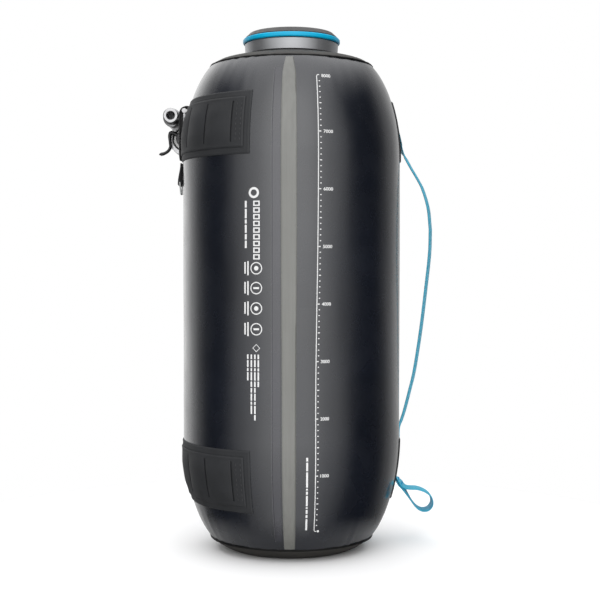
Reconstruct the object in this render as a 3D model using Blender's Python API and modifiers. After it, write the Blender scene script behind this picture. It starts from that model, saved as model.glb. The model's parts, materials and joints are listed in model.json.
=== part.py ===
"""Collapsible eight-litre water bladder with a screw cap, lash patches, a strap handle and a tap.

Metres, +Z up. The origin is the centre of the flat base. The printed side faces -Y, the handle
is on the right (+X) and the tap on the left (-X). Bearings are degrees anticlockwise from +X
seen from above, so the front is -90 and the left side is 180.
"""

import math

import bmesh
import bpy
from mathutils import Matrix, Vector

COLLECTION = "water_bladder"
TINY = 1e-5
GAP = 0.0003

# Film body: a tube with an elliptical shoulder at each end, closed by two welded end panels.
BODY_RADIUS = 0.087
SHOULDER_DEPTH = 0.040
TOP_SHOULDER_Z = 0.310
TOP_SHOULDER_RISE = 0.084
BASE_SHOULDER_Z = 0.094
BASE_SHOULDER_DROP = 0.094
SHOULDER_END = math.radians(62.4)
FILM = 0.0008
BODY_STEPS = 40
SHOULDER_RINGS = 6
WELD_RADIUS = 0.0653
WELD_THICKNESS = 0.0008
TOP_WELD_Z = 0.3856
BASE_WELD_Z = 0.0094
PANEL_EDGE = 0.0639
PANEL_FLAT = 0.045
PANEL_BOW = 0.0188
TOP_PANEL_Z = 0.3915
TOP_PANEL_DROP = 0.0059
BASE_PANEL_DROP = 0.0090

# Front lap seam.
TAPE_BEARINGS = (-95.6, -87.3)
TAPE = 0.0004

# Neck and cap.
NECK_RADIUS = 0.0330
NECK_BORE = 0.0285
NECK_TOP = 0.4070
NECK_FOOT = 0.3855
NECK_FLANGE = 0.0446
PANEL_HOLE = 0.0335
THREAD_PITCH = 0.0045
THREAD_TURNS = 1.6
THREAD_STEPS = 18
THREAD_Z = 0.3965
CAP_STEPS = 36
SKIRT_FOOT = 0.3945
SKIRT_RADIUS = 0.0369
SKIRT_BORE = 0.0352
CAP_SHELF = 0.4037
CAP_TOP = 0.4120
RING_RADIUS = 0.0389
DISH_RADIUS = 0.0265

# Lash patches, 48 mm tall, 84 degrees wide, in diametrically opposite pairs.
PATCH_HEIGHTS = ((0.309, 0.357), (0.040, 0.088))
LEFT_PATCH = (-195.0, -111.0)
RIGHT_PATCH = (-15.0, 69.0)
PATCH = 0.0008
PATCH_LIFT = 0.0003
PATCH_MARGIN = 0.005
CHAIN_MARGIN = 3.3
CHAIN_LIFT = 0.0018
CHAIN_BULGE = 0.0012
SLOT_BEARINGS = (-175.0, -157.0, -139.0, -121.0)
SLOT_HALF = 0.4
SLOT_MARGIN = 0.004
TUNNEL_LIFT = 0.0045
TUNNEL_HEIGHTS = ((0.3380, 0.3540), (0.0570, 0.0760))
TUNNEL_HALF = 7.6
TUNNEL_SPREAD = 10.5

# Handle strap, in the upright plane through the body's axis at its bearing.
HANDLE_BEARING = 14.0
HANDLE_FACING = -5.0
HANDLE_PIVOT = (0.0890, 0.2115)
LOOP_FACING = 0.0
WEBBING_WIDTH = 0.020
WEBBING = 0.0016
HANDLE_LIFT = 0.0023
LOOP_PIVOT = (0.0866, 0.0535)
TETHER_PIVOT = (0.0885, 0.3085)

# Tap, with its barrel and nozzle along Y, on a port that points at the body's axis.
TAP_X = -0.0904
TAP_Y = 0.055
TAP_Z = 0.3325
TAP_STEPS = 24
BARREL_RADIUS = 0.0125
BARREL_BORE = 0.0096
BARREL_FRONT = 0.0440
BARREL_BACK = 0.0660
CORE_RADIUS = 0.0093
PASSAGE = 0.0030
PASSAGE_Y = 0.0520
TAP_TURN = 75.0
NOZZLE_X = -0.0980
NOZZLE_Z = 0.3483
NOZZLE_BORE = 0.0035
NOZZLE_FRONT = 0.0080
BOSS_FRONT = 0.0313
BOSS_RADIUS = 0.0066
SHANK_RADIUS = 0.0060
SHANK_BORE = 0.0035
SHANK_END = 0.0705
PORT_CLEARANCE = 0.0003
FLANGE_RADIUS = 0.0160
FLANGE_FACE = 0.0886
GASKET_RADIUS = 0.0130
GASKET_FACE = 0.0790
NUT_ACROSS = 0.0120
LEVER_FRONT = 0.0370
LEVER_BACK = 0.0430
LEVER = 0.0030
PIN_X = -0.0865
PIN_Z = 0.3515
PIN_RADIUS = 0.0010

# Webbing on the left side.
KEEPER_BEARING = -188.0
KEEPER_WIDTH = 0.012
KEEPER = 0.0014
TETHER_BEARING = -182.0
TETHER_WIDTH = 0.012
TETHER = 0.0010


# ---------------------------------------------------------------- scene and materials


def clear_scene():
    """Remove everything that is in the open file."""
    for item in list(bpy.data.objects):
        bpy.data.objects.remove(item, do_unlink=True)


def new_collection(name):
    collection = bpy.data.collections.new(name)
    bpy.context.scene.collection.children.link(collection)
    return collection


def new_material(name, colour, roughness, metallic=0.0):
    """A plain Principled material."""
    material = bpy.data.materials.new(name)
    material.use_nodes = True
    shader = material.node_tree.nodes["Principled BSDF"]
    shader.inputs["Base Color"].default_value = (*colour, 1.0)
    shader.inputs["Roughness"].default_value = roughness
    shader.inputs["Metallic"].default_value = metallic
    material.diffuse_color = (*colour, 1.0)
    return material


def make_materials():
    """The finishes, by the name that the parts use."""
    return {
        "film": new_material("charcoal_film", (0.045, 0.048, 0.052), 0.30),
        "tape": new_material("seam_tape", (0.17, 0.17, 0.16), 0.42),
        "patch": new_material("patch_fabric", (0.022, 0.023, 0.025), 0.75),
        "blue": new_material("blue_webbing", (0.03, 0.42, 0.75), 0.65),
        "black": new_material("black_webbing", (0.012, 0.012, 0.013), 0.80),
        "neck": new_material("neck_plastic", (0.06, 0.06, 0.06), 0.45),
        "cap": new_material("cap_plastic", (0.20, 0.20, 0.21), 0.38),
        "cap_top": new_material("cap_cover_plastic", (0.07, 0.07, 0.075), 0.45),
        "ring": new_material("blue_ring", (0.0, 0.33, 0.80), 0.35),
        "rubber": new_material("black_rubber", (0.012, 0.012, 0.012), 0.60),
        "metal": new_material("tap_alloy", (0.55, 0.55, 0.56), 0.30, 0.9),
        "white": new_material("white_plastic", (0.75, 0.75, 0.74), 0.35),
        "grey": new_material("grey_plastic", (0.42, 0.42, 0.43), 0.40),
    }


def add_object(name, mesh, material, collection):
    """Link a mesh into a collection as a named object."""
    item = bpy.data.objects.new(name, mesh)
    if material is not None:
        mesh.materials.append(material)
    collection.objects.link(item)
    return item


def smooth_shade(item, angle=35.0):
    item.data.shade_smooth()
    item.data.set_sharp_from_angle(angle=math.radians(angle))


# ---------------------------------------------------------------- the body's surface


def outline_point(height):
    """Outer radius of the body at a height, and the outline's outward normal there."""
    if height > TOP_SHOULDER_Z:
        share, rise, up = (height - TOP_SHOULDER_Z) / TOP_SHOULDER_RISE, TOP_SHOULDER_RISE, 1.0
    elif height < BASE_SHOULDER_Z:
        share, rise, up = (BASE_SHOULDER_Z - height) / BASE_SHOULDER_DROP, BASE_SHOULDER_DROP, -1.0
    else:
        return BODY_RADIUS, Vector((1.0, 0.0))
    turn = math.asin(min(1.0, share))
    radius = BODY_RADIUS - SHOULDER_DEPTH * (1.0 - math.cos(turn))
    normal = Vector((math.cos(turn) / SHOULDER_DEPTH, up * math.sin(turn) / rise))
    return radius, normal.normalized()


def around(bearing, radius, height):
    """The point at a bearing, a distance from the body's axis, and a height."""
    turn = math.radians(bearing)
    return Vector((radius * math.cos(turn), radius * math.sin(turn), height))


def on_body(bearing, height, lift=0.0):
    """A point that stands off the film by lift, along the surface's normal."""
    radius, normal = outline_point(height)
    return around(bearing, radius + lift * normal.x, height + lift * normal.y)


def tangent(bearing):
    """The level direction along the film at a bearing."""
    turn = math.radians(bearing)
    return Vector((-math.sin(turn), math.cos(turn), 0.0))


def body_outline(rings):
    """Outer outline of the tube film from the top weld down to the bottom weld."""
    turns = [SHOULDER_END * step / rings for step in range(rings + 1)]
    top = [
        (
            BODY_RADIUS - SHOULDER_DEPTH * (1.0 - math.cos(turn)),
            TOP_SHOULDER_Z + TOP_SHOULDER_RISE * math.sin(turn),
        )
        for turn in reversed(turns)
    ]
    base = [
        (
            BODY_RADIUS - SHOULDER_DEPTH * (1.0 - math.cos(turn)),
            BASE_SHOULDER_Z - BASE_SHOULDER_DROP * math.sin(turn),
        )
        for turn in turns
    ]
    return top + base


# ---------------------------------------------------------------- shape makers


def spin(item, steps):
    """Turn an outline a full circle about its own Z."""
    screw = item.modifiers.new("turn", "SCREW")
    screw.axis = "Z"
    screw.angle = 2.0 * math.pi
    screw.steps = steps
    screw.render_steps = steps
    screw.use_merge_vertices = True
    screw.merge_threshold = TINY


def turned(name, outline, material, collection, steps=CAP_STEPS):
    """A turned piece. An outline that doesn't start on the axis is closed on itself."""
    points = [(radius, 0.0, height) for radius, height in outline]
    edges = [(i, i + 1) for i in range(len(points) - 1)]
    if outline[0][0] > 0.0:
        edges.append((len(points) - 1, 0))
    mesh = bpy.data.meshes.new(name)
    mesh.from_pydata(points, edges, [])
    item = add_object(name, mesh, material, collection)
    spin(item, steps)
    return item


def turned_skin(name, outline, material, collection, thickness=FILM):
    """A turned skin of even thickness under its outer outline."""
    points = [(radius, 0.0, height) for radius, height in outline]
    mesh = bpy.data.meshes.new(name)
    mesh.from_pydata(points, [(i, i + 1) for i in range(len(points) - 1)], [])
    item = add_object(name, mesh, material, collection)
    spin(item, BODY_STEPS)
    solidify(item, thickness, -1.0)
    return item


def solidify(item, thickness, offset):
    modifier = item.modifiers.new("thickness", "SOLIDIFY")
    modifier.thickness = thickness
    modifier.offset = offset
    modifier.use_even_offset = True


def grid_mesh(name, columns, rows, place, skip=None):
    """A grid of faces whose corners are placed by column and row number."""
    grid = bmesh.new()
    bmesh.ops.create_grid(grid, x_segments=columns - 1, y_segments=rows - 1, size=1.0)
    cells = {}
    for corner in grid.verts:
        column = round((corner.co.x + 1.0) / 2.0 * (columns - 1))
        row = round((corner.co.y + 1.0) / 2.0 * (rows - 1))
        cells[corner] = (column, row)
    if skip is not None:
        doomed = [
            face
            for face in grid.faces
            if skip(min(cells[v][0] for v in face.verts), min(cells[v][1] for v in face.verts))
        ]
        bmesh.ops.delete(grid, geom=doomed, context="FACES")
    for corner in grid.verts:
        corner.co = place(*cells[corner])
    mesh = bpy.data.meshes.new(name)
    grid.to_mesh(mesh)
    grid.free()
    return mesh


def wrapped_sheet(name, bearings, heights, lift, thickness, material, collection, skip=None):
    """A sheet that follows the body, lifted off it by lift(bearing, height)."""

    def place(column, row):
        bearing, height = bearings[column], heights[row]
        return on_body(bearing, height, lift(bearing, height))

    mesh = grid_mesh(name, len(bearings), len(heights), place, skip)
    item = add_object(name, mesh, material, collection)
    solidify(item, thickness, 1.0)
    smooth_shade(item)
    return item


def pivot_at(item, point):
    """Put the object's origin on its joint's axis and leave its shape where it is."""
    item.data.transform(Matrix.Translation(-point))
    item.location = point


def spread(low, high, count):
    """Evenly spaced values from low to high, both included."""
    return [low + (high - low) * step / (count - 1) for step in range(count)]


def smooth_path(points, steps):
    """A smooth curve through all the points, with steps spans between each two."""
    padded = [points[0] * 2.0 - points[1], *points, points[-1] * 2.0 - points[-2]]
    path = [points[0].copy()]
    for before, start, end, after in zip(padded, padded[1:], padded[2:], padded[3:]):
        for step in range(1, steps + 1):
            t = step / steps
            bend = (end - before) * t + (before * 2.0 - start * 5.0 + end * 4.0 - after) * t**2
            bend += (start * 3.0 - before - end * 3.0 + after) * t**3
            path.append(start + bend * 0.5)
    return path


def ribbon(name, path, facings, width, thickness, material, collection):
    """A flat strap along a path. It faces the bearings in facings, spread over its length."""

    def place(column, row):
        along = column / (len(path) - 1) * (len(facings) - 1)
        first = min(int(along), len(facings) - 2)
        bearing = facings[first] + (facings[first + 1] - facings[first]) * (along - first)
        return path[column] + tangent(bearing) * width * (row - 0.5)

    mesh = grid_mesh(name, len(path), 2, place)
    item = add_object(name, mesh, material, collection)
    solidify(item, thickness, 0.0)
    smooth_shade(item)
    return item


def upright_path(bearing, points, steps=3):
    """A smooth path in the upright plane at a bearing, through (radius, height) points."""
    return smooth_path([around(bearing, radius, height) for radius, height in points], steps)


def rod(name, start, end, radius, material, collection, sides=TAP_STEPS):
    """A closed cylinder between two points."""
    start, end = Vector(start), Vector(end)
    shape = bmesh.new()
    bmesh.ops.create_cone(
        shape,
        cap_ends=True,
        segments=sides,
        radius1=radius,
        radius2=radius,
        depth=(end - start).length,
    )
    mesh = bpy.data.meshes.new(name)
    shape.to_mesh(mesh)
    shape.free()
    item = add_object(name, mesh, material, collection)
    item.matrix_world = Matrix.Translation((start + end) / 2.0) @ facing(end - start)
    return item


def facing(direction):
    """The rotation that turns +Z to a direction."""
    return direction.to_track_quat("Z", "Y").to_matrix().to_4x4()


def box(name, centre, size, material, collection, turn=None):
    """A closed box, turned by a rotation matrix if one is given."""
    shape = bmesh.new()
    bmesh.ops.create_cube(shape, size=1.0, matrix=Matrix.Diagonal((*size, 1.0)))
    mesh = bpy.data.meshes.new(name)
    shape.to_mesh(mesh)
    shape.free()
    item = add_object(name, mesh, material, collection)
    item.matrix_world = Matrix.Translation(Vector(centre)) @ (turn or Matrix.Identity(4))
    return item


def helix(name, radius, thickness, collection):
    """One thread ridge as a closed mesh, made from a beveled curve."""
    count = int(THREAD_TURNS * THREAD_STEPS)
    curve = bpy.data.curves.new(name, "CURVE")
    curve.dimensions = "3D"
    curve.bevel_depth = thickness
    curve.bevel_resolution = 0
    curve.use_fill_caps = True
    spline = curve.splines.new("POLY")
    spline.points.add(count)
    for step, point in enumerate(spline.points):
        turns = THREAD_TURNS * step / count
        angle = 2.0 * math.pi * turns
        height = THREAD_Z + THREAD_PITCH * turns
        point.co = (radius * math.cos(angle), radius * math.sin(angle), height, 1.0)
    return curve_to_mesh(name, curve, collection)


def curve_to_mesh(name, curve, collection):
    """Replace a curve by the closed mesh that it shows."""
    guide = bpy.data.objects.new(name + "_curve", curve)
    collection.objects.link(guide)
    bpy.context.view_layer.update()
    mesh = bpy.data.meshes.new_from_object(guide.evaluated_get(bpy.context.evaluated_depsgraph_get()))
    bpy.data.objects.remove(guide, do_unlink=True)
    shape = bmesh.new()
    shape.from_mesh(mesh)
    bmesh.ops.remove_doubles(shape, verts=shape.verts, dist=TINY)
    bmesh.ops.recalc_face_normals(shape, faces=shape.faces)
    shape.to_mesh(mesh)
    shape.free()
    mesh.name = name
    item = bpy.data.objects.new(name, mesh)
    collection.objects.link(item)
    return item


def combine(item, tool, operation):
    """Add or cut one shape, which is then hidden."""
    modifier = item.modifiers.new(tool.name, "BOOLEAN")
    modifier.object = tool
    modifier.operation = operation
    modifier.solver = "EXACT"
    tool.hide_render = True
    tool.display_type = "WIRE"


# ---------------------------------------------------------------- film body


def panel_height(radius):
    """How far an end panel has fallen away from its flat middle, from 0 to 1."""
    return (max(0.0, radius - PANEL_FLAT) / PANEL_BOW) ** 2


def make_body(mats, parts, tools):
    """The welded film: tube, two end panels, their welds and the front lap seam."""
    film = turned_skin("tube_film", body_outline(SHOULDER_RINGS), mats["film"], parts)
    hole = port_rod("port_hole", FLANGE_FACE + 0.004, GASKET_FACE - 0.004, 0.0068, None, tools)
    combine(film, hole, "DIFFERENCE")

    bowed = spread(PANEL_FLAT, PANEL_EDGE, 4)
    crown = [(PANEL_HOLE, TOP_PANEL_Z)]
    crown += [(radius, TOP_PANEL_Z - TOP_PANEL_DROP * panel_height(radius)) for radius in bowed]
    turned_skin("top_end_panel", crown, mats["film"], parts)
    foot = [(radius, BASE_PANEL_DROP * panel_height(radius)) for radius in reversed(bowed)]
    foot.append((0.0, 0.0))
    turned_skin("bottom_end_panel", foot, mats["film"], parts)

    for name, height in (("top_weld_ring", TOP_WELD_Z), ("bottom_weld_ring", BASE_WELD_Z)):
        corners = [math.radians(-60.0 * step) for step in range(6)]
        bead = [
            (
                WELD_RADIUS + WELD_THICKNESS * math.cos(turn),
                height + WELD_THICKNESS * math.sin(turn),
            )
            for turn in corners
        ]
        turned(name, bead, mats["film"], parts, BODY_STEPS)

    heights = [height for _, height in reversed(body_outline(SHOULDER_RINGS))]
    bearings = spread(*TAPE_BEARINGS, 4)
    wrapped_sheet(
        "lap_seam_tape", bearings, heights, lambda *_: GAP, TAPE, mats["tape"], parts
    )


# ---------------------------------------------------------------- neck and cap


def make_neck(mats, parts, tools):
    """Threaded wide-mouth neck whose flange is welded to the top panel."""
    outline = [
        (NECK_RADIUS, NECK_TOP),
        (NECK_RADIUS, 0.3934),
        (NECK_FLANGE - 0.0008, 0.3930),
        (NECK_FLANGE, 0.3925),
        (NECK_FLANGE, TOP_PANEL_Z + GAP),
        (NECK_RADIUS, TOP_PANEL_Z + GAP),
        (NECK_RADIUS, NECK_FOOT),
        (NECK_BORE, NECK_FOOT),
        (NECK_BORE, NECK_TOP),
    ]
    neck = turned("neck_fitment", outline, mats["neck"], parts)
    combine(neck, helix("neck_thread", NECK_RADIUS, 0.0010, tools), "UNION")


def make_cap(mats, parts, tools):
    """Screw cap: dished shell, cover, grip ring, grip bar and gasket."""
    shell = [
        (0.0, 0.4015),
        (DISH_RADIUS - 0.0020, 0.4015),
        (DISH_RADIUS - 0.0005, 0.4030),
        (DISH_RADIUS, 0.4105),
        (0.0342, 0.4105),
        (0.0362, 0.4086),
        (0.0362, CAP_SHELF + 0.0002),
        (0.0375, CAP_SHELF),
        (SKIRT_RADIUS, SKIRT_FOOT + GAP),
        (SKIRT_RADIUS - 0.0004, SKIRT_FOOT),
        (SKIRT_BORE + 0.0002, SKIRT_FOOT),
        (SKIRT_BORE, SKIRT_FOOT + GAP),
        (SKIRT_BORE, 0.4093),
        (DISH_RADIUS + 0.0012, 0.4093),
        (DISH_RADIUS + 0.0010, 0.4016),
        (DISH_RADIUS - 0.0010, 0.4003),
        (0.0, 0.4003),
    ]
    cap = turned("cap_shell", shell, mats["cap"], parts)
    combine(cap, helix("cap_thread", SKIRT_BORE, 0.0008, tools), "UNION")

    cover = [
        (DISH_RADIUS + 0.0004, CAP_TOP),
        (0.0334, CAP_TOP),
        (0.0376, 0.4080),
        (0.0366, 0.4080),
        (0.0366, 0.4088),
        (0.0344, 0.41085),
        (DISH_RADIUS + 0.0004, 0.41085),
    ]
    turned("cap_cover", cover, mats["cap_top"], parts)

    ring = [
        (0.0365, 0.4076),
        (0.0382, 0.4075),
        (RING_RADIUS, 0.4067),
        (RING_RADIUS, 0.4050),
        (0.0382, 0.4042),
        (0.0365, 0.4041),
    ]
    turned("cap_grip_ring", ring, mats["ring"], parts)

    gasket = [(0.0346, 0.4090), (0.0346, 0.4073), (0.0289, 0.4073), (0.0289, 0.4090)]
    turned("cap_gasket", gasket, mats["rubber"], parts)

    length = 2.0 * (DISH_RADIUS - 0.0028)
    bar = box("cap_grip_bar", (0.0, 0.0, 0.4065), (length, 0.007, 0.0092), mats["cap_top"], parts)
    bevel = bar.modifiers.new("edges", "BEVEL")
    bevel.width = 0.0009
    bevel.segments = 2


# ---------------------------------------------------------------- lash patches


def window(value, low, high, edge):
    """0 outside low to high, 1 well inside, with an even slope of width edge at each end."""
    return max(0.0, min(1.0, (value - low) / edge, (high - value) / edge))


def make_patch(name, bearings, heights, mats, parts):
    """The welded backing of a lash patch."""
    wrapped_sheet(
        name,
        spread(*bearings, 15),
        spread(*heights, 6),
        lambda *_: PATCH_LIFT,
        PATCH,
        mats["patch"],
        parts,
    )


def make_daisy_chain(name, heights, mats, parts):
    """The outer layer of a left patch, slit into bridges that webbing passes under."""
    low, high = heights[0] + PATCH_MARGIN, heights[1] - PATCH_MARGIN
    first_slit = SLOT_BEARINGS[0] - SLOT_HALF
    bearings = spread(LEFT_PATCH[0] + CHAIN_MARGIN, first_slit, 4)[:-1]
    for slot in SLOT_BEARINGS:
        bearings += [slot - SLOT_HALF, slot + SLOT_HALF]
        if slot != SLOT_BEARINGS[-1]:
            bearings += [slot + 6.0, slot + 12.0]
    bearings.append(LEFT_PATCH[1] - CHAIN_MARGIN)
    rows = [low, low + SLOT_MARGIN, *spread(low + 0.011, high - 0.011, 3), high - SLOT_MARGIN, high]
    slits = [bearings.index(slot - SLOT_HALF) for slot in SLOT_BEARINGS]

    def lift(bearing, height):
        first, last = SLOT_BEARINGS[0], SLOT_BEARINGS[-1]
        if not first < bearing < last:
            return CHAIN_LIFT
        phase = (bearing - first) / (SLOT_BEARINGS[1] - first)
        swell = abs(math.sin(math.pi * phase)) * window(height, low, high, 0.012)
        return CHAIN_LIFT + CHAIN_BULGE * swell

    def slit(column, row):
        return column in slits and 0 < row < len(rows) - 2

    wrapped_sheet(name, bearings, rows, lift, PATCH, mats["patch"], parts, slit)


def make_tunnel(name, heights, mats, parts):
    """The outer layer of a right patch, raised into a tunnel for the handle strap."""
    offsets = [-13.0, -TUNNEL_SPREAD, -TUNNEL_HALF, 0.0, TUNNEL_HALF, TUNNEL_SPREAD, 13.0]

    def lift(bearing, _):
        away = abs(bearing - HANDLE_BEARING)
        slope = window(-away, -TUNNEL_SPREAD, 0.0, TUNNEL_SPREAD - TUNNEL_HALF)
        return CHAIN_LIFT + (TUNNEL_LIFT - CHAIN_LIFT) * (slope if away > 0.0 else 1.0)

    wrapped_sheet(
        name,
        [HANDLE_BEARING + offset for offset in offsets],
        spread(*heights, 3),
        lift,
        PATCH,
        mats["patch"],
        parts,
    )


def make_patches(mats, parts):
    for level, heights, tunnel in zip(("upper", "lower"), PATCH_HEIGHTS, TUNNEL_HEIGHTS):
        make_patch(f"{level}_left_patch", LEFT_PATCH, heights, mats, parts)
        make_patch(f"{level}_right_patch", RIGHT_PATCH, heights, mats, parts)
        make_daisy_chain(f"{level}_left_daisy_chain", heights, mats, parts)
        make_tunnel(f"{level}_right_strap_tunnel", tunnel, mats, parts)


# ---------------------------------------------------------------- handle and pull loop


def lifted(height):
    """The (radius, height) of a strap that lies on a right patch."""
    radius, normal = outline_point(height)
    return radius + HANDLE_LIFT * normal.x, height + HANDLE_LIFT * normal.y


def make_handle(mats, parts):
    """The strap, in three lengths that meet where it starts to swing, and its pull loop."""
    upper = [lifted(0.3500), lifted(0.3420), (0.0889, 0.3330), (0.0919, 0.3235), (0.0958, 0.3170)]
    middle = [
        (0.0968, 0.3155),
        (0.1010, 0.3080),
        (0.1062, 0.2985),
        (0.1106, 0.2895),
        (0.1160, 0.2740),
        (0.1186, 0.2565),
        (0.1180, 0.2370),
        (0.1150, 0.2100),
        (0.1104, 0.1740),
        (0.1050, 0.1410),
        (0.1008, 0.1240),
        (0.0963, 0.1075),
    ]
    lower = [
        (0.0957, 0.1050),
        (0.0939, 0.0965),
        (0.0917, 0.0850),
        lifted(0.0740),
        lifted(0.0650),
        lifted(0.0560),
    ]
    flat, free = HANDLE_BEARING, HANDLE_FACING
    lengths = {}
    for name, points, facings in (
        ("handle_upper_end", upper, (flat, flat, free)),
        ("handle_strap", middle, (free, free)),
        ("handle_lower_end", lower, (free, flat, flat)),
    ):
        path = upright_path(HANDLE_BEARING, points)
        lengths[name] = ribbon(name, path, facings, WEBBING_WIDTH, WEBBING, mats["blue"], parts)
    pivot_at(lengths["handle_strap"], around(HANDLE_BEARING, *HANDLE_PIVOT))

    loop = [
        (LOOP_PIVOT[0] - 0.0004, LOOP_PIVOT[1] - 0.0010),
        (0.0910, 0.0462),
        (0.0945, 0.0420),
        (0.0986, 0.0370),
        (0.1031, 0.0312),
        (0.1073, 0.0265),
        (0.1124, 0.0242),
        (0.1175, 0.0252),
        (0.1203, 0.0297),
        (0.1190, 0.0355),
        (0.1141, 0.0398),
        (0.1073, 0.0422),
        (0.1010, 0.0440),
        (0.0962, 0.0455),
        (0.0927, 0.0484),
        (LOOP_PIVOT[0] + 0.0014, LOOP_PIVOT[1] + 0.0004),
    ]
    path = upright_path(HANDLE_BEARING, loop)
    facings = (flat, *[LOOP_FACING] * 4, flat)
    pull = ribbon("pull_loop", path, facings, WEBBING_WIDTH, WEBBING, mats["blue"], parts)
    pivot_at(pull, around(HANDLE_BEARING, *LOOP_PIVOT))


# ---------------------------------------------------------------- tap


def port_direction():
    """The level direction from the body's axis to the middle of the tap."""
    return Vector((TAP_X, TAP_Y, 0.0)).normalized()


def on_port(distance):
    """A point on the port's line, by its distance from the body's axis."""
    return port_direction() * distance + Vector((0.0, 0.0, TAP_Z))


def port_rod(name, start, end, radius, material, collection, sides=TAP_STEPS):
    return rod(name, on_port(start), on_port(end), radius, material, collection, sides)


def body_solid(name, lift, collection):
    """A solid of the whole tube, lifted off its outside, that port pieces are cut by."""
    outline = [(0.0, TOP_WELD_Z)]
    for _, height in body_outline(SHOULDER_RINGS):
        radius, normal = outline_point(height)
        outline.append((radius + lift * normal.x, height + lift * normal.y))
    outline.append((0.0, BASE_WELD_Z))
    return turned(name, outline, None, collection, BODY_STEPS)


def make_port(mats, parts, tools):
    """Bulkhead port: a welded saddle outside, a gasket and a lock nut inside."""
    bore = SHANK_RADIUS + PORT_CLEARANCE
    outside = body_solid("outside_of_film", GAP, tools)
    inside = body_solid("inside_of_film", -FILM - GAP, tools)
    drill = port_rod("port_drill", 0.100, 0.060, bore, None, tools)

    flange = port_rod("port_flange", FLANGE_FACE, 0.0740, FLANGE_RADIUS, mats["film"], parts)
    combine(flange, outside, "DIFFERENCE")
    combine(flange, drill, "DIFFERENCE")

    gasket = port_rod("port_gasket", 0.0900, GASKET_FACE, GASKET_RADIUS, mats["rubber"], parts)
    combine(gasket, inside, "INTERSECT")
    combine(gasket, drill, "DIFFERENCE")

    nut = port_rod("tap_lock_nut", GASKET_FACE - GAP, 0.0730, NUT_ACROSS, mats["grey"], parts, 6)
    combine(nut, drill, "DIFFERENCE")


def along_y(x, z, front, back, radius, name, material, collection, sides=TAP_STEPS):
    return rod(name, (x, back, z), (x, front, z), radius, material, collection, sides)


def make_valve_body(mats, parts, tools):
    """The tap's casting: barrel, nozzle boss, web, lug and inlet shank, with its passages."""
    body = along_y(
        TAP_X, TAP_Z, BARREL_FRONT, BARREL_BACK, BARREL_RADIUS, "valve_body", mats["metal"], parts
    )
    boss = along_y(NOZZLE_X, NOZZLE_Z, BOSS_FRONT, 0.0630, BOSS_RADIUS, "nozzle_boss", None, tools)
    lean = Vector((NOZZLE_X - TAP_X, 0.0, NOZZLE_Z - TAP_Z))
    middle = Vector((TAP_X, 0.0545, TAP_Z)) + lean / 2.0
    web = box("nozzle_web", middle, (0.0090, 0.0150, lean.length), None, tools, lean_turn(lean))
    shank = port_rod("inlet_shank", 0.0950, SHANK_END, SHANK_RADIUS, None, tools)
    lug = box("lug_arm", (-0.0922, 0.0336, PIN_Z), (0.0110, 0.0040, 0.0064), None, tools)
    lug_end = along_y(PIN_X, PIN_Z, 0.0316, 0.0356, 0.0032, "lug_end", None, tools)
    for extra in (boss, web, shank, lug, lug_end):
        combine(body, extra, "UNION")

    chamber = along_y(TAP_X, TAP_Z, 0.0400, 0.0640, BARREL_BORE, "core_chamber", None, tools)
    inlet = port_rod("inlet_bore", 0.1000, SHANK_END - 0.005, SHANK_BORE, None, tools)
    outlet = along_y(NOZZLE_X, NOZZLE_Z, 0.0250, 0.0580, NOZZLE_BORE, "outlet_bore", None, tools)
    start = Vector((TAP_X, PASSAGE_Y, TAP_Z))
    link = rod("link_bore", start + lean * 0.3, start + lean, PASSAGE, None, tools)
    pin_hole = along_y(PIN_X, PIN_Z, 0.0250, 0.0400, PIN_RADIUS + GAP, "pin_hole", None, tools, 16)
    for hollow in (chamber, inlet, outlet, link, pin_hole):
        combine(body, hollow, "DIFFERENCE")


def lean_turn(lean):
    """A turn about Y that lays Z along lean."""
    return Matrix.Rotation(math.atan2(lean.x, lean.z), 4, "Y")


def turned_on_y(name, outline, x, z, material, collection, steps=TAP_STEPS):
    """A turned piece along Y. Its outline holds (radius, y), from back to front outside."""
    item = turned(name, [(radius, -y) for radius, y in outline], material, collection, steps)
    item.matrix_world = Matrix.Translation((x, 0.0, z)) @ Matrix.Rotation(math.pi / 2.0, 4, "X")
    return item


def make_nozzle(mats, parts):
    """The hose nozzle that faces the front, with its collar and O-ring."""
    outline = [
        (NOZZLE_BORE, NOZZLE_FRONT),
        (0.0056, NOZZLE_FRONT),
        (0.00615, NOZZLE_FRONT + 0.0006),
        (0.00615, 0.0115),
        (0.0047, 0.0120),
        (0.0047, 0.0146),
        (0.0058, 0.0150),
        (0.0060, 0.0220),
        (0.0075, 0.0228),
        (0.0075, 0.0302),
        (0.0070, BOSS_FRONT - GAP),
        (NOZZLE_BORE, BOSS_FRONT - GAP),
    ]
    turned_on_y("nozzle_tube", outline, NOZZLE_X, NOZZLE_Z, mats["metal"], parts)
    seal = [(0.0050, 0.0124), (0.0059, 0.0124), (0.0063, 0.0133), (0.0059, 0.0142), (0.0050, 0.0142)]
    turned_on_y("nozzle_o_ring", seal, NOZZLE_X, NOZZLE_Z, mats["rubber"], parts)


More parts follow.
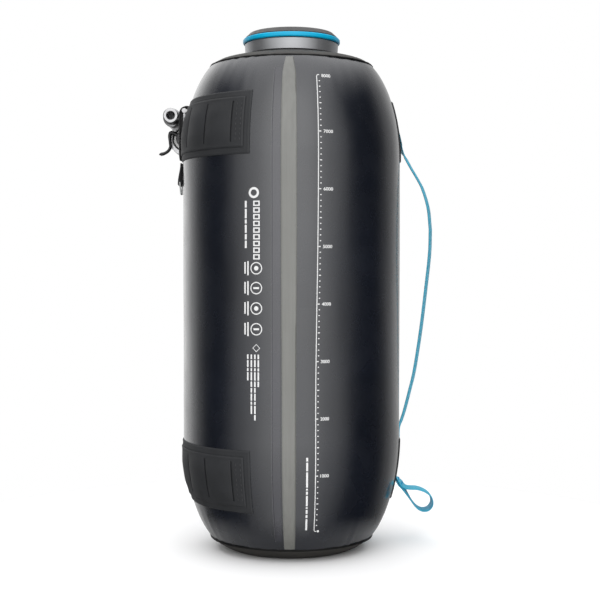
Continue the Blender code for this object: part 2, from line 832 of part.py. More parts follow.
def make_valve(mats, parts, tools):
    """What turns inside the barrel, and the rings that hold and seal it."""
    core = along_y(TAP_X, TAP_Z, 0.0470, 0.0636, CORE_RADIUS, "valve_core", mats["grey"], parts)
    neck = along_y(TAP_X, TAP_Z, LEVER_BACK + GAP, 0.0500, 0.0056, "core_neck", None, tools)
    combine(core, neck, "UNION")
    lean = Vector((NOZZLE_X - TAP_X, 0.0, NOZZLE_Z - TAP_Z)).normalized()
    for number, open_way in enumerate((Vector((1.0, 0.0, 0.0)), lean)):
        closed_way = Matrix.Rotation(math.radians(TAP_TURN), 3, "Y") @ open_way
        start = Vector((TAP_X, PASSAGE_Y, TAP_Z))
        way = rod(f"core_way_{number}", start, start + closed_way * 0.012, PASSAGE, None, tools)
        combine(core, way, "DIFFERENCE")
    screw_hole = along_y(TAP_X, TAP_Z, 0.0300, 0.0480, 0.0017, "screw_hole", None, tools, 16)
    combine(core, screw_hole, "DIFFERENCE")

    retainer = [(0.0059, 0.0436), (0.0080, 0.0436), (0.0082, 0.0440), (0.0082, 0.0466), (0.0059, 0.0466)]
    turned_on_y("core_retaining_ring", retainer, TAP_X, TAP_Z, mats["white"], parts)
    seal = [(0.0085, 0.0446), (0.0093, 0.0446), (0.0093, 0.0466), (0.0085, 0.0466)]
    turned_on_y("barrel_seal", seal, TAP_X, TAP_Z, mats["rubber"], parts)


def make_lever(mats, parts, tools):
    """The curled finger lever, its screw and its cap."""
    depth = LEVER_BACK - LEVER_FRONT
    middle_y = (LEVER_BACK + LEVER_FRONT) / 2.0
    offsets = [
        (-0.0030, 0.0020),
        (-0.0072, 0.0046),
        (-0.0102, 0.0052),
        (-0.0113, 0.0022),
        (-0.0109, -0.0030),
        (-0.0107, -0.0066),
        (-0.0124, -0.0098),
        (-0.0157, -0.0120),
        (-0.0199, -0.0130),
    ]
    points = [Vector((TAP_X + across, middle_y, TAP_Z + up)) for across, up in offsets]
    path = smooth_path(points, 3)
    lever = ribbon("lever", path, (0.0, 0.0), depth, LEVER, mats["metal"], parts)
    hub = along_y(TAP_X, TAP_Z, LEVER_FRONT, LEVER_BACK, 0.0060, "lever_hub", None, tools)
    combine(lever, hub, "UNION")
    hole = along_y(TAP_X, TAP_Z, 0.0300, 0.0480, 0.0017, "lever_hole", None, tools, 16)
    combine(lever, hole, "DIFFERENCE")
    pivot_at(lever, Vector((TAP_X, middle_y, TAP_Z)))

    outline = [
        (0.0, 0.0354),
        (0.0030, 0.0354),
        (0.0033, 0.0357),
        (0.0033, LEVER_FRONT - GAP),
        (0.0014, LEVER_FRONT - GAP),
        (0.0014, 0.0477),
        (0.0, 0.0477),
    ]
    turned_on_y("lever_screw", outline, TAP_X, TAP_Z, mats["metal"], parts, 16)


def make_tap_support(mats, parts, tools):
    """The pin that hangs the tap's lug behind the webbing keeper."""
    pin = along_y(PIN_X, PIN_Z, 0.0032, 0.0365, PIN_RADIUS, "keeper_pin", mats["metal"], parts, 16)
    head = along_y(PIN_X, PIN_Z, 0.0020, 0.0034, 0.0019, "pin_head", None, tools, 16)
    combine(pin, head, "UNION")
    points = [
        (0.0902, 0.3118),
        (0.0908, 0.3170),
        (0.0908, 0.3300),
        (0.0907, 0.3440),
        (0.0905, 0.3505),
        (0.0890, 0.3538),
        (0.0858, 0.3552),
        (0.0836, 0.3552),
    ]
    path = upright_path(KEEPER_BEARING, points)
    facings = (KEEPER_BEARING, KEEPER_BEARING)
    ribbon("tap_keeper_strap", path, facings, KEEPER_WIDTH, KEEPER, mats["black"], parts)


# ---------------------------------------------------------------- hanging tether


def make_tether(mats, parts):
    """A small folded webbing loop under the tap that holds a triangular ring."""
    points = [
        (0.08935, 0.3085),
        (0.0899, 0.3010),
        (0.0908, 0.2945),
        (0.0905, 0.2918),
        (0.0892, 0.2909),
        (0.0880, 0.2922),
        (0.0879, 0.2960),
        (0.0879, 0.3085),
    ]
    path = upright_path(TETHER_BEARING, points)
    facings = (TETHER_BEARING, TETHER_BEARING)
    tether = ribbon("tether_loop", path, facings, TETHER_WIDTH, TETHER, mats["black"], parts)

    side = tangent(TETHER_BEARING)
    bar = around(TETHER_BEARING, 0.0892, 0.2932)
    foot = around(TETHER_BEARING, 0.0888, 0.2840)
    curve = bpy.data.curves.new("tether_ring", "CURVE")
    curve.dimensions = "3D"
    curve.bevel_depth = 0.0006
    curve.bevel_resolution = 1
    spline = curve.splines.new("POLY")
    corners = [bar + side * 0.0086, bar - side * 0.0086, foot - side * 0.0030, foot + side * 0.0030]
    spline.points.add(len(corners) - 1)
    spline.use_cyclic_u = True
    for point, corner in zip(spline.points, corners):
        point.co = (*corner, 1.0)
    ring = curve_to_mesh("tether_ring", curve, parts)
    ring.data.materials.append(mats["grey"])
    for item in (tether, ring):
        pivot_at(item, around(TETHER_BEARING, *TETHER_PIVOT))


# ---------------------------------------------------------------- the whole object


def build():
    """Make every part."""
    clear_scene()
    parts = new_collection(COLLECTION)
    tools = new_collection("cutters")
    mats = make_materials()
    make_body(mats, parts, tools)
    make_neck(mats, parts, tools)
    make_cap(mats, parts, tools)
    make_patches(mats, parts)
    make_handle(mats, parts)
    make_port(mats, parts, tools)
    make_valve_body(mats, parts, tools)
    make_nozzle(mats, parts)
    make_valve(mats, parts, tools)
    make_lever(mats, parts, tools)
    make_tap_support(mats, parts, tools)
    make_tether(mats, parts)
    for item in tools.objects:
        item.hide_render = True
        item.display_type = "WIRE"


build()
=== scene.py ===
"""How the water bladder looks: film, patches, webbing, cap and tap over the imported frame.

Metres, +Z up, the same frame as the CAD. The printed side faces -Y. Bearings are degrees
anticlockwise from +X seen from above, so the front is -90 and the left side is 180.
"""

import json
from math import asin, cos, degrees, exp, pi, radians, sin, sqrt, tau

import bmesh
import bpy
from mathutils import Matrix, Vector, noise

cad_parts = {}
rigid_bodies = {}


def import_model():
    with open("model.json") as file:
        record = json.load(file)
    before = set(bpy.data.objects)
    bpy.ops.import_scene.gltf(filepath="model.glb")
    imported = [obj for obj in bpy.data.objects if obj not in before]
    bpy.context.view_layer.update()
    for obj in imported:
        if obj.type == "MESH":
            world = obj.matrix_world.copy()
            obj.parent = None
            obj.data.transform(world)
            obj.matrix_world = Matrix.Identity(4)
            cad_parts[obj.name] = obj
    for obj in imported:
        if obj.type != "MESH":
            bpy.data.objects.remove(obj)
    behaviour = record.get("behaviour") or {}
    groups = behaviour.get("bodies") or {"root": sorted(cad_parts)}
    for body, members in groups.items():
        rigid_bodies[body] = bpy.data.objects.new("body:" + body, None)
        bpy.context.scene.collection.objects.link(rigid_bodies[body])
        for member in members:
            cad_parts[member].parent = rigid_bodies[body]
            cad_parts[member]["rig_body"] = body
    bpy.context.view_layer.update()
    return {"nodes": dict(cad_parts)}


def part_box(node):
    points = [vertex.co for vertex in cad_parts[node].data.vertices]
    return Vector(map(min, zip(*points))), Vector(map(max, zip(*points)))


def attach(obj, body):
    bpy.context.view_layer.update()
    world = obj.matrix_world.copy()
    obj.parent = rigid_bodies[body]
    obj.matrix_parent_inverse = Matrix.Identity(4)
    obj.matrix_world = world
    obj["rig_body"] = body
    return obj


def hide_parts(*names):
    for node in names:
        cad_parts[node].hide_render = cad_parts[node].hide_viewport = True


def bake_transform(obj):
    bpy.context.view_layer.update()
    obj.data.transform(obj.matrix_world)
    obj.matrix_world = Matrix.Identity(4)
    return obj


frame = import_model()

# The body's outline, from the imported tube.
TUBE_LOW, TUBE_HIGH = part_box("tube_film")
BODY_RADIUS = (TUBE_HIGH.y - TUBE_LOW.y) / 2.0
FRONT = -90.0
SHOULDER_DEPTH = 0.04
TOP_SHOULDER_Z = 0.31
TOP_SHOULDER_RISE = 0.084
BASE_SHOULDER_Z = 0.094
BASE_SHOULDER_DROP = 0.094
FILM_TOP = TUBE_HIGH.z
FILM_FOOT = TUBE_LOW.z
FILM = 0.0007
SHARP = 60.0

PATCH_HEIGHTS = ((0.309, 0.357), (0.04, 0.088))
LEFT_PATCH = (-195.0, -111.0)
RIGHT_PATCH = (-7.0, 69.0)
PATCH_CLOTH = 0.0008
SLIT_STEP = 18.0
SLITS = tuple(-175.0 + SLIT_STEP * number for number in range(4))
SLIT_HALF = 0.45
TAPE_BEARINGS = (-95.2, -87.3)
TAPE_MIDDLE = sum(TAPE_BEARINGS) / 2.0
FLAP_BEARINGS = (-99.9, -95.5)
HANDLE_BEARING = 14.0
TUNNEL_HALF = 13.0
TUNNEL_HEIGHTS = ((0.338, 0.354), (0.057, 0.076))
WEBBING_WIDTH = 0.02
WEBBING = 0.0014
BLACK_WEBBING_WIDTH = 0.012
THREAD_PITCH = 0.0045
THREAD_TURNS = 1.6


# ---- small sums

def spread(low, high, count):
    """Evenly spaced values from low to high, both included."""
    return [low + (high - low) * step / (count - 1) for step in range(count)]


def ease(value, low, high):
    """0 below low, 1 above high, smooth between."""
    share = max(0.0, min(1.0, (value - low) / (high - low)))
    return share * share * (3.0 - 2.0 * share)


def band(value, low, high, edge):
    """1 inside low to high, falling smoothly to 0 over edge at each end."""
    return ease(value, low, low + edge) * (1.0 - ease(value, high - edge, high))


def ridge(distance, at, width):
    """1 on a line at a distance, falling to 0 on both sides of it."""
    return exp(-(((distance - at) / width) ** 2))


def smooth_path(points, steps):
    """Points on a Catmull-Rom curve through the given points."""
    ends = [2.0 * points[0] - points[1], *points, 2.0 * points[-1] - points[-2]]
    path = []
    for index in range(len(points) - 1):
        p0, p1, p2, p3 = ends[index : index + 4]
        for step in range(steps):
            t = step / steps
            point = 2.0 * p1 + (p2 - p0) * t
            point += (2.0 * p0 - 5.0 * p1 + 4.0 * p2 - p3) * t * t
            point += (3.0 * p1 - p0 - 3.0 * p2 + p3) * t * t * t
            path.append(0.5 * point)
    path.append(points[-1].copy())
    return path


# ---- the filled film's surface

def outline_point(height):
    """Outer radius of the body at a height, and the outline's outward normal there."""
    if height > TOP_SHOULDER_Z:
        share, rise, up = (height - TOP_SHOULDER_Z) / TOP_SHOULDER_RISE, TOP_SHOULDER_RISE, 1.0
    elif height < BASE_SHOULDER_Z:
        share, rise, up = (BASE_SHOULDER_Z - height) / BASE_SHOULDER_DROP, BASE_SHOULDER_DROP, -1.0
    else:
        return BODY_RADIUS, Vector((1.0, 0.0))
    turn = asin(min(1.0, share))
    radius = BODY_RADIUS - SHOULDER_DEPTH * (1.0 - cos(turn))
    normal = Vector((cos(turn) / SHOULDER_DEPTH, up * sin(turn) / rise))
    return radius, normal.normalized()


def around(bearing, radius, height):
    """The point at a bearing, a distance from the body's axis, and a height."""
    turn = radians(bearing)
    return Vector((radius * cos(turn), radius * sin(turn), height))


def tangent(bearing):
    """The level direction along the film at a bearing."""
    turn = radians(bearing)
    return Vector((-sin(turn), cos(turn), 0.0))


def relief(bearing, height):
    """How far the filled film stands off its outline: long soft waves, and puckers at the welds."""
    turn = radians(bearing)
    spot = Vector((cos(turn), sin(turn), 0.0))
    waves = noise.noise(spot * 1.6 + Vector((3.0, 1.0, height * 7.0))) * 0.0005
    waves += noise.noise(spot * 4.0 + Vector((0.0, 7.0, height * 16.0))) * 0.00022
    near_weld = max(ease(height, 0.345, 0.384), 1.0 - ease(height, 0.011, 0.05))
    drift = noise.noise(spot * 2.3 + Vector((9.0, 2.0, height * 5.0)))
    puckers = sin(turn * 31.0 + drift * 9.0) * noise.noise(spot * 3.1 + Vector((0.0, 0.0, 5.0)))
    return waves + puckers * near_weld * 0.0004 - 0.0003


def on_film(bearing, height, lift=0.0):
    """A point that stands off the film by lift, along the surface's normal."""
    radius, normal = outline_point(height)
    out = lift + relief(bearing, height)
    return around(bearing, radius + out * normal.x, height + out * normal.y)


def from_edge(bearing, height, bearings, heights):
    """How far inside the nearest edge of a patch a point of the film is."""
    across = radians(min(bearing - bearings[0], bearings[-1] - bearing)) * BODY_RADIUS
    return min(across, height - heights[0], heights[-1] - height)


# ---- meshes

# Outline points nearer to the axis than this are on it.
ON_AXIS = 1e-6
# UVs of turned pieces are in metres at this radius.
UV_RADIUS = 0.037


def add_object(name, data):
    item = bpy.data.objects.new(name, data)
    bpy.context.scene.collection.objects.link(item)
    return item


def finish_mesh(name, shape, look, body="bladder", replaced=()):
    """Turn a bmesh into a piece in one of the looks, that rides on a body."""
    mesh = bpy.data.meshes.new(name)
    bmesh.ops.recalc_face_normals(shape, faces=shape.faces)
    for face in shape.faces:
        face.smooth = True
    shape.to_mesh(mesh)
    shape.free()
    mesh.materials.append(LOOKS[look])
    item = add_object(name, mesh)
    if body:
        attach(item, body)
    if replaced:
        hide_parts(*replaced)
    return item


def crisp(item, angle=SHARP):
    """Keep flats flat and edges sharp under smooth shading."""
    split = item.modifiers.new("edges", "EDGE_SPLIT")
    split.split_angle = radians(angle)
    normals = item.modifiers.new("normals", "WEIGHTED_NORMAL")
    normals.keep_sharp = True


def uv_face(shape, layer, corners, uvs):
    """A face, and the UVs of its corners."""
    for loop, uv in zip(shape.faces.new(corners).loops, uvs):
        loop[layer].uv = uv


def loft(shape, rings, layer=None, uvs=None):
    """Faces between each ring of vertices and the next, and one that closes each end."""
    size = len(rings[0])
    for index in range(len(rings) - 1):
        for k in range(size):
            m = (k + 1) % size
            corners = [(index, k), (index, m), (index + 1, m), (index + 1, k)]
            made = shape.faces.new([rings[i][j] for i, j in corners])
            if uvs:
                for loop, (i, j) in zip(made.loops, corners):
                    loop[layer].uv = uvs[i][j]
    shape.faces.new(rings[0])
    shape.faces.new(rings[-1][::-1])


def sheet_shape(columns, rows, place, thickness, outward, skip, round_u):
    """A closed skin: a grid of place(column, row), and its copy moved inward by thickness.

    outward(column, row) is the unit vector that the skin's outer side faces. UVs are in metres.
    """
    shape = bmesh.new()
    layer = shape.loops.layers.uv.new("UVMap")
    outer, inner, flat = {}, {}, {}
    for c in range(columns):
        for r in range(rows):
            point, uv = place(c, r)
            side = outward(c, r)
            outer[c, r] = shape.verts.new(point)
            inner[c, r] = shape.verts.new(point - side * thickness)
            flat[c, r] = uv
    starts = range(columns if round_u else columns - 1)
    kept = {(c, r) for c in starts for r in range(rows - 1) if not (skip and skip(c, r))}
    for c, r in kept:
        n = (c + 1) % columns
        keys = [(c, r), (n, r), (n, r + 1), (c, r + 1)]
        uvs = [flat[k] for k in keys]
        if round_u and n == 0:
            step = flat[1, r][0] - flat[0, r][0]
            uvs[1] = (flat[c, r][0] + step, uvs[1][1])
            uvs[2] = (flat[c, r + 1][0] + step, uvs[2][1])
        uv_face(shape, layer, [outer[k] for k in keys], uvs)
        uv_face(shape, layer, [inner[k] for k in keys[::-1]], uvs[::-1])
        for side, (dc, dr) in enumerate(((0, -1), (1, 0), (0, 1), (-1, 0))):
            beside = ((c + dc) % columns if round_u else c + dc, r + dr)
            if beside not in kept:
                k, m = keys[side], keys[(side + 1) % 4]
                corners = [outer[m], outer[k], inner[k], inner[m]]
                uv_face(shape, layer, corners, [flat[m], flat[k], flat[k], flat[m]])
    loose = [v for v in shape.verts if not v.link_faces]
    bmesh.ops.delete(shape, geom=loose, context="VERTS")
    return shape


def film_sheet(
    name, bearings, heights, lift, thickness, look, replaced=(),
    skip=None, bend=None, round_u=False, sharp=50.0,
):
    """A sheet that lies on the film, lift(bearing, height) off it.

    bend(bearing, height) is the bearing that a column really has at a height.
    """

    def place(c, r):
        b, h = bearings[c], heights[r]
        where = bend(b, h) if bend else b
        return on_film(where, h, lift(b, h) + thickness), (radians(b) * BODY_RADIUS, h)

    def outward(c, r):
        _, normal = outline_point(heights[r])
        return around(bearings[c], normal.x, normal.y)

    shape = sheet_shape(len(bearings), len(heights), place, thickness, outward, skip, round_u)
    crisp(finish_mesh(name, shape, look, "bladder", replaced), sharp)


def rounded(outline, size, steps=3):
    """Round the corners of a closed (radius, height) outline that aren't on the axis."""
    out = []
    count = len(outline)
    for index, here in enumerate(outline):
        here = Vector(here)
        before, after = Vector(outline[index - 1]), Vector(outline[(index + 1) % count])
        if here.x < ON_AXIS:
            out.append(here)
            continue
        to_before, to_after = before - here, after - here
        reach = min(size, to_before.length * 0.45, to_after.length * 0.45)
        start, end = here + to_before.normalized() * reach, here + to_after.normalized() * reach
        for step in range(steps + 1):
            t = step / steps
            out.append(start * (1 - t) ** 2 + here * 2 * t * (1 - t) + end * t * t)
    return out


def turned(name, outline, size, look, body="bladder", replaced=(), steps=128, place=None, wobble=None):
    """A piece turned about Z from a closed outline, its corners rounded to size."""
    points = rounded(outline, size) if size else [Vector(p) for p in outline]
    shape = bmesh.new()
    layer = shape.loops.layers.uv.new("UVMap")
    rings = []
    for point in points:
        if point.x < ON_AXIS:
            rings.append([shape.verts.new((0.0, 0.0, point.y))])
            continue
        ring = []
        for step in range(steps):
            turn = tau * step / steps
            radius, height = wobble(turn, *point) if wobble else point
            ring.append(shape.verts.new((radius * cos(turn), radius * sin(turn), height)))
        rings.append(ring)
    along = 0.0
    for index, ring in enumerate(rings):
        after = rings[(index + 1) % len(rings)]
        length = (points[(index + 1) % len(points)] - points[index]).length
        if len(ring) == 1 and len(after) == 1:
            continue
        for step in range(steps):
            turn = (step + 1) % steps
            corners = [ring[step % len(ring)], ring[turn % len(ring)]]
            corners += [after[turn % len(after)], after[step % len(after)]]
            u0, u1 = (k / steps * tau * UV_RADIUS for k in (step, step + 1))
            uvs = [(u0, along), (u1, along), (u1, along + length), (u0, along + length)]
            if corners[0] is corners[1]:
                corners, uvs = corners[1:], uvs[1:]
            elif corners[2] is corners[3]:
                corners, uvs = corners[:3], uvs[:3]
            uv_face(shape, layer, corners, uvs)
        along += length
    if place is not None:
        shape.transform(place)
    crisp(finish_mesh(name, shape, look, body, replaced))


def helix(name, radius, height, depth, half, look, body="bladder", inward=False):
    """A screw thread: a low ridge that fades in and out along a helix round Z."""
    shape = bmesh.new()
    steps = int(72 * THREAD_TURNS)
    rows = []
    sign = -1.0 if inward else 1.0
    for step in range(steps + 1):
        turn = tau * THREAD_TURNS * step / steps
        crest = depth * band(step / steps, -0.001, 1.001, 0.06)
        z = height + THREAD_PITCH * (step / steps - 0.5) * THREAD_TURNS
        ring = []
        for out, up in ((-0.0002, -half), (crest, -half * 0.35), (crest, half * 0.35), (-0.0002, half)):
            r = radius + sign * out
            ring.append(shape.verts.new((r * cos(turn), r * sin(turn), z + up)))
        rows.append(ring)
    loft(shape, rows)
    crisp(finish_mesh(name, shape, look, body), 40.0)


def refined(node, look, bevel=0.0):
    """A CAD node's own shape with its edges rounded, in place of the faceted solid."""
    source = frame["nodes"][node]
    shape = bmesh.new()
    shape.from_mesh(source.data)
    bmesh.ops.remove_doubles(shape, verts=shape.verts, dist=1e-6)
    flat = radians(1.0)
    bmesh.ops.dissolve_limit(shape, angle_limit=flat, verts=shape.verts, edges=shape.edges)
    item = finish_mesh(node + "_fine", shape, look, source["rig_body"], (node,))
    if bevel:
        edges = item.modifiers.new("rounding", "BEVEL")
        edges.width = bevel
        edges.segments = 2
        edges.limit_method = "ANGLE"
        edges.angle_limit = radians(32.0)
    crisp(item, 50.0)


def webbing(name, path, facings, width, thickness, look, replaced=(), body=None, crown=0.15):
    """Flat webbing along a path, with rounded selvedges and slightly crowned faces.

    facings are the bearings that its face looks along, spread evenly over its length. thickness
    is a length, or gives one for a share of the way along.
    """
    across = 12
    shape = bmesh.new()
    layer = shape.loops.layers.uv.new("UVMap")
    lengths = [0.0]
    for a, b in zip(path, path[1:]):
        lengths.append(lengths[-1] + (b - a).length)
    rings, ring_uvs = [], []
    for index, point in enumerate(path):
        along = lengths[index] / lengths[-1]
        share = along * (len(facings) - 1)
        first = min(int(share), len(facings) - 2)
        bearing = facings[first] + (facings[first + 1] - facings[first]) * (share - first)
        side = tangent(bearing)
        ahead = path[min(index + 1, len(path) - 1)] - path[max(index - 1, 0)]
        out = side.cross(ahead).normalized()
        thick = thickness(along) if callable(thickness) else thickness
        ring, uvs = [], []
        for half in (1.0, -1.0):
            for k in range(across + 1):
                s = k / across if half > 0 else 1.0 - k / across
                edge = abs(2.0 * s - 1.0)
                rise = thick / 2.0 * (1.0 - edge ** 10) ** 0.5 * (1.0 - crown * edge * edge)
                ring.append(shape.verts.new(point + side * width * (s - 0.5) + out * rise * half))
                uvs.append((s * width, lengths[index]))
        rings.append(ring)
        ring_uvs.append(uvs)
    loft(shape, rings, layer, ring_uvs)
    bmesh.ops.remove_doubles(shape, verts=shape.verts, dist=1e-6)
    item = finish_mesh(name, shape, look, body, replaced)
    crisp(item)
    return item


def upright_path(bearing, points, steps=8):
    """A smooth path in the upright plane at a bearing, through (radius, height) points."""
    return smooth_path([around(bearing, *point) for point in points], steps)


def stitches(name, rows, look, body="bladder", length=0.0022, gap=0.001, radius=0.00028):
    """Rows of raised thread. Each row is (start, end, outward)."""
    shape = bmesh.new()
    for start, end, out in rows:
        run = end - start
        count = max(1, round(run.length / (length + gap)))
        step = run / count
        ahead = step.normalized()
        side = out.cross(ahead).normalized()
        for index in range(count):
            middle = start + step * (index + 0.5)
            rings = []
            for t in (-1.0, -0.8, -0.4, 0.0, 0.4, 0.8, 1.0):
                swell = max(0.15, sqrt(1.0 - t * t))
                centre = middle + ahead * t * length / 2.0 + out * radius * (swell - 0.6)
                ring = []
                for k in range(6):
                    turn = pi / 3.0 * k
                    beside = centre + side * cos(turn) * radius * swell
                    ring.append(shape.verts.new(beside + out * sin(turn) * radius * swell))
                rings.append(ring)
            loft(shape, rings)
    finish_mesh(name, shape, look, body)


# ---- materials

class Nodes:
    """A node tree with a few helpers for its nodes."""

    def __init__(self, tree):
        self.tree = tree
        self.coords = tree.nodes.new("ShaderNodeTexCoord")

    def node(self, kind, inputs=None, **settings):
        made = self.tree.nodes.new("ShaderNode" + kind)
        for label, value in settings.items():
            setattr(made, label, value)
        for label, value in (inputs or {}).items():
            if isinstance(value, bpy.types.NodeSocket):
                self.tree.links.new(value, made.inputs[label])
            else:
                made.inputs[label].default_value = value
        return made

    def place(self, coords, scale):
        """Coordinates of one kind, scaled, so that 1 is one repeat."""
        inputs = {"Vector": self.coords.outputs[coords], "Scale": scale}
        return self.node("Mapping", inputs).outputs["Vector"]

    def noise(self, scale, detail=2.0, stretch=(1.0, 1.0, 1.0)):
        where = self.place("Object", tuple(scale * s for s in stretch))
        return self.node("TexNoise", {"Vector": where, "Scale": 1.0, "Detail": detail}).outputs["Fac"]

    def maths(self, operation, a, b=0.0):
        return self.node("Math", {0: a, 1: b}, operation=operation).outputs["Value"]

    def ramp(self, value, low, high, out_low=0.0, out_high=1.0, **settings):
        inputs = {"Value": value, "From Min": low, "From Max": high, "To Min": out_low, "To Max": out_high}
        return self.node("MapRange", inputs, **settings).outputs["Result"]

    def cloud(self, scale, detail, low=0.0, high=1.0):
        """Soft noise, spread from low to high."""
        return self.ramp(self.noise(scale, detail), 0.3, 0.7, low, high)

    def levels(self, value, stops, interpolation):
        """A grey level at each position, run together between them."""
        made = self.node("ValToRGB", {"Fac": value})
        made.color_ramp.interpolation = interpolation
        elements = made.color_ramp.elements
        elements[0].position, elements[1].position = stops[0][0], stops[-1][0]
        for position, _ in stops[1:-1]:
            elements.new(position)
        for element, (_, level) in zip(elements, stops):
            element.color = (level, level, level, 1.0)
        return made.outputs["Color"]

    def colour(self, factor, first, second):
        mixed = self.node("MixRGB", {"Fac": factor, "Color1": first, "Color2": second})
        return mixed.outputs["Color"]


class Shader(Nodes):
    """A Principled material."""

    def __init__(self, name, colour, roughness, metallic=0.0, **settings):
        self.material = bpy.data.materials.new(name)
        self.material.use_nodes = True
        super().__init__(self.material.node_tree)
        self.shader = self.tree.nodes["Principled BSDF"]
        self.shader.inputs["Base Color"].default_value = (*colour, 1.0)
        self.shader.inputs["Roughness"].default_value = roughness
        self.shader.inputs["Metallic"].default_value = metallic
        for label, value in settings.items():
            self.shader.inputs[label.replace("_", " ")].default_value = value
        self.bump = None

    def set_colour(self, socket):
        self.tree.links.new(socket, self.shader.inputs["Base Color"])

    def vary(self, factor, tint, dark, light):
        """Let the colour run between two shares of a tint."""
        ends = (rgb(*(min(1.0, channel * share) for channel in tint)) for share in (dark, light))
        self.set_colour(self.colour(factor, *ends))

    def set_roughness(self, socket):
        self.tree.links.new(socket, self.shader.inputs["Roughness"])

    def add_bump(self, height, strength, distance):
        inputs = {"Height": height, "Strength": strength, "Distance": distance}
        if self.bump:
            inputs["Normal"] = self.bump.outputs["Normal"]
        self.bump = self.node("Bump", inputs)
        self.tree.links.new(self.bump.outputs["Normal"], self.shader.inputs["Normal"])


def rgb(red, green, blue):
    return (red, green, blue, 1.0)


def film_look(name, tint, coat=0.7, gloss=0.5, low=0.22, high=0.31):
    """Satin coated film: a fine pebble, soft cloudy gloss and a clear skin."""
    made = Shader(name, tint, low, Coat_Weight=coat, Coat_Roughness=0.16, Specular_IOR_Level=gloss)
    made.vary(made.cloud(14.0, 3.0), tint, 0.8, 1.22)
    made.set_roughness(made.cloud(55.0, 3.0, low, high))
    made.add_bump(made.noise(1500.0, 2.0), 0.1, 0.0002)
    made.add_bump(made.noise(90.0, 2.0), 0.05, 0.001)
    return made.material


def tape_look():
    """Translucent seam tape, streaked along its length."""
    made = Shader("lap_seam_tape", (0.105, 0.106, 0.096), 0.4, Coat_Weight=0.6, Coat_Roughness=0.3)
    streaks = made.noise(420.0, 2.0, stretch=(1.0, 1.0, 0.03))
    factor = made.ramp(streaks, 0.3, 0.7)
    made.set_colour(made.colour(factor, rgb(0.098, 0.099, 0.09), rgb(0.117, 0.118, 0.108)))
    made.set_roughness(made.cloud(70.0, 3.0, 0.34, 0.47))
    made.add_bump(made.noise(1200.0, 2.0), 0.1, 0.0002)
    return made.material


def ink_look():
    """Pale ink, slightly worn."""
    made = Shader("print_ink", (0.5, 0.5, 0.5), 0.5)
    worn = made.ramp(made.noise(2600.0, 3.0), 0.34, 0.46)
    made.set_colour(made.colour(worn, rgb(0.5, 0.5, 0.5), rgb(0.64, 0.64, 0.64)))
    made.add_bump(made.noise(3000.0, 1.0), 0.1, 0.0001)
    return made.material


def patch_look():
    """Matt coated cloth: a plain weave seen through its coating."""
    made = Shader("patch_cloth", (0.014, 0.015, 0.017), 0.62, Specular_IOR_Level=0.35)
    yarn = 0.0008
    where = made.place("UV", (1.0 / yarn, 1.0 / yarn, 1.0))
    parts = made.node("SeparateXYZ", {"Vector": where}).outputs
    warp, weft = (made.maths("SINE", made.maths("MULTIPLY", parts[axis], tau)) for axis in "XY")
    weave = made.maths("MULTIPLY", warp, weft)
    cloud = made.cloud(40.0, 3.0)
    made.set_colour(made.colour(cloud, rgb(0.012, 0.013, 0.0145), rgb(0.018, 0.019, 0.0215)))
    made.set_roughness(made.ramp(weave, -1.0, 1.0, 0.56, 0.68))
    made.add_bump(weave, 0.25, 0.00012)
    made.add_bump(made.noise(700.0, 2.0), 0.12, 0.0002)
    return made.material


def webbing_look(name, deep, pale, roughness, rib=0.0017):
    """Woven tape: herringbone ribs along it and a finer pick across."""
    made = Shader(name, deep, roughness, Sheen_Weight=0.12, Sheen_Roughness=0.35, Specular_IOR_Level=0.25)
    pitch = 0.0011
    where = made.place("UV", (1.0, 1.0, 1.0))
    parts = made.node("SeparateXYZ", {"Vector": where})
    across, along = parts.outputs["X"], parts.outputs["Y"]
    zigzag = made.maths("PINGPONG", across, rib)
    slanted = made.maths("ADD", along, made.maths("MULTIPLY", zigzag, 0.9))
    picks = made.maths("SINE", made.maths("MULTIPLY", slanted, tau / pitch))
    ribs = made.maths("SINE", made.maths("MULTIPLY", across, tau / rib))
    height = made.maths("ADD", picks, made.maths("MULTIPLY", ribs, 0.6))
    tone = made.ramp(height, -1.5, 1.5)
    fuzz = made.cloud(900.0, 3.0, -0.18, 0.18)
    mixed = made.maths("ADD", tone, fuzz)
    made.set_colour(made.colour(mixed, rgb(*deep), rgb(*pale)))
    made.add_bump(height, 0.45, 0.00022)
    made.add_bump(made.noise(2500.0, 2.0), 0.2, 0.0001)
    return made.material


def plastic_look(name, tint, low, high, gloss=0.5, grain=900.0, strength=0.06, metallic=0.0):
    """Moulded plastic: a fine spark-eroded grain and slight cloudiness."""
    made = Shader(name, tint, low, metallic, Specular_IOR_Level=gloss)
    made.vary(made.cloud(60.0, 3.0), tint, 0.92, 1.08)
    made.set_roughness(made.cloud(240.0, 3.0, low, high))
    made.add_bump(made.noise(grain, 2.0), strength, 0.0002)
    return made.material


def metal_look(name, tint):
    """Tumbled cast alloy: cloudy and faintly pitted."""
    made = Shader(name, tint, 0.3, metallic=1.0)
    made.vary(made.cloud(300.0, 4.0), tint, 0.9, 1.1)
    made.set_roughness(made.cloud(500.0, 3.0, 0.22, 0.38))
    made.add_bump(made.noise(1400.0, 3.0), 0.06, 0.0002)
    return made.material


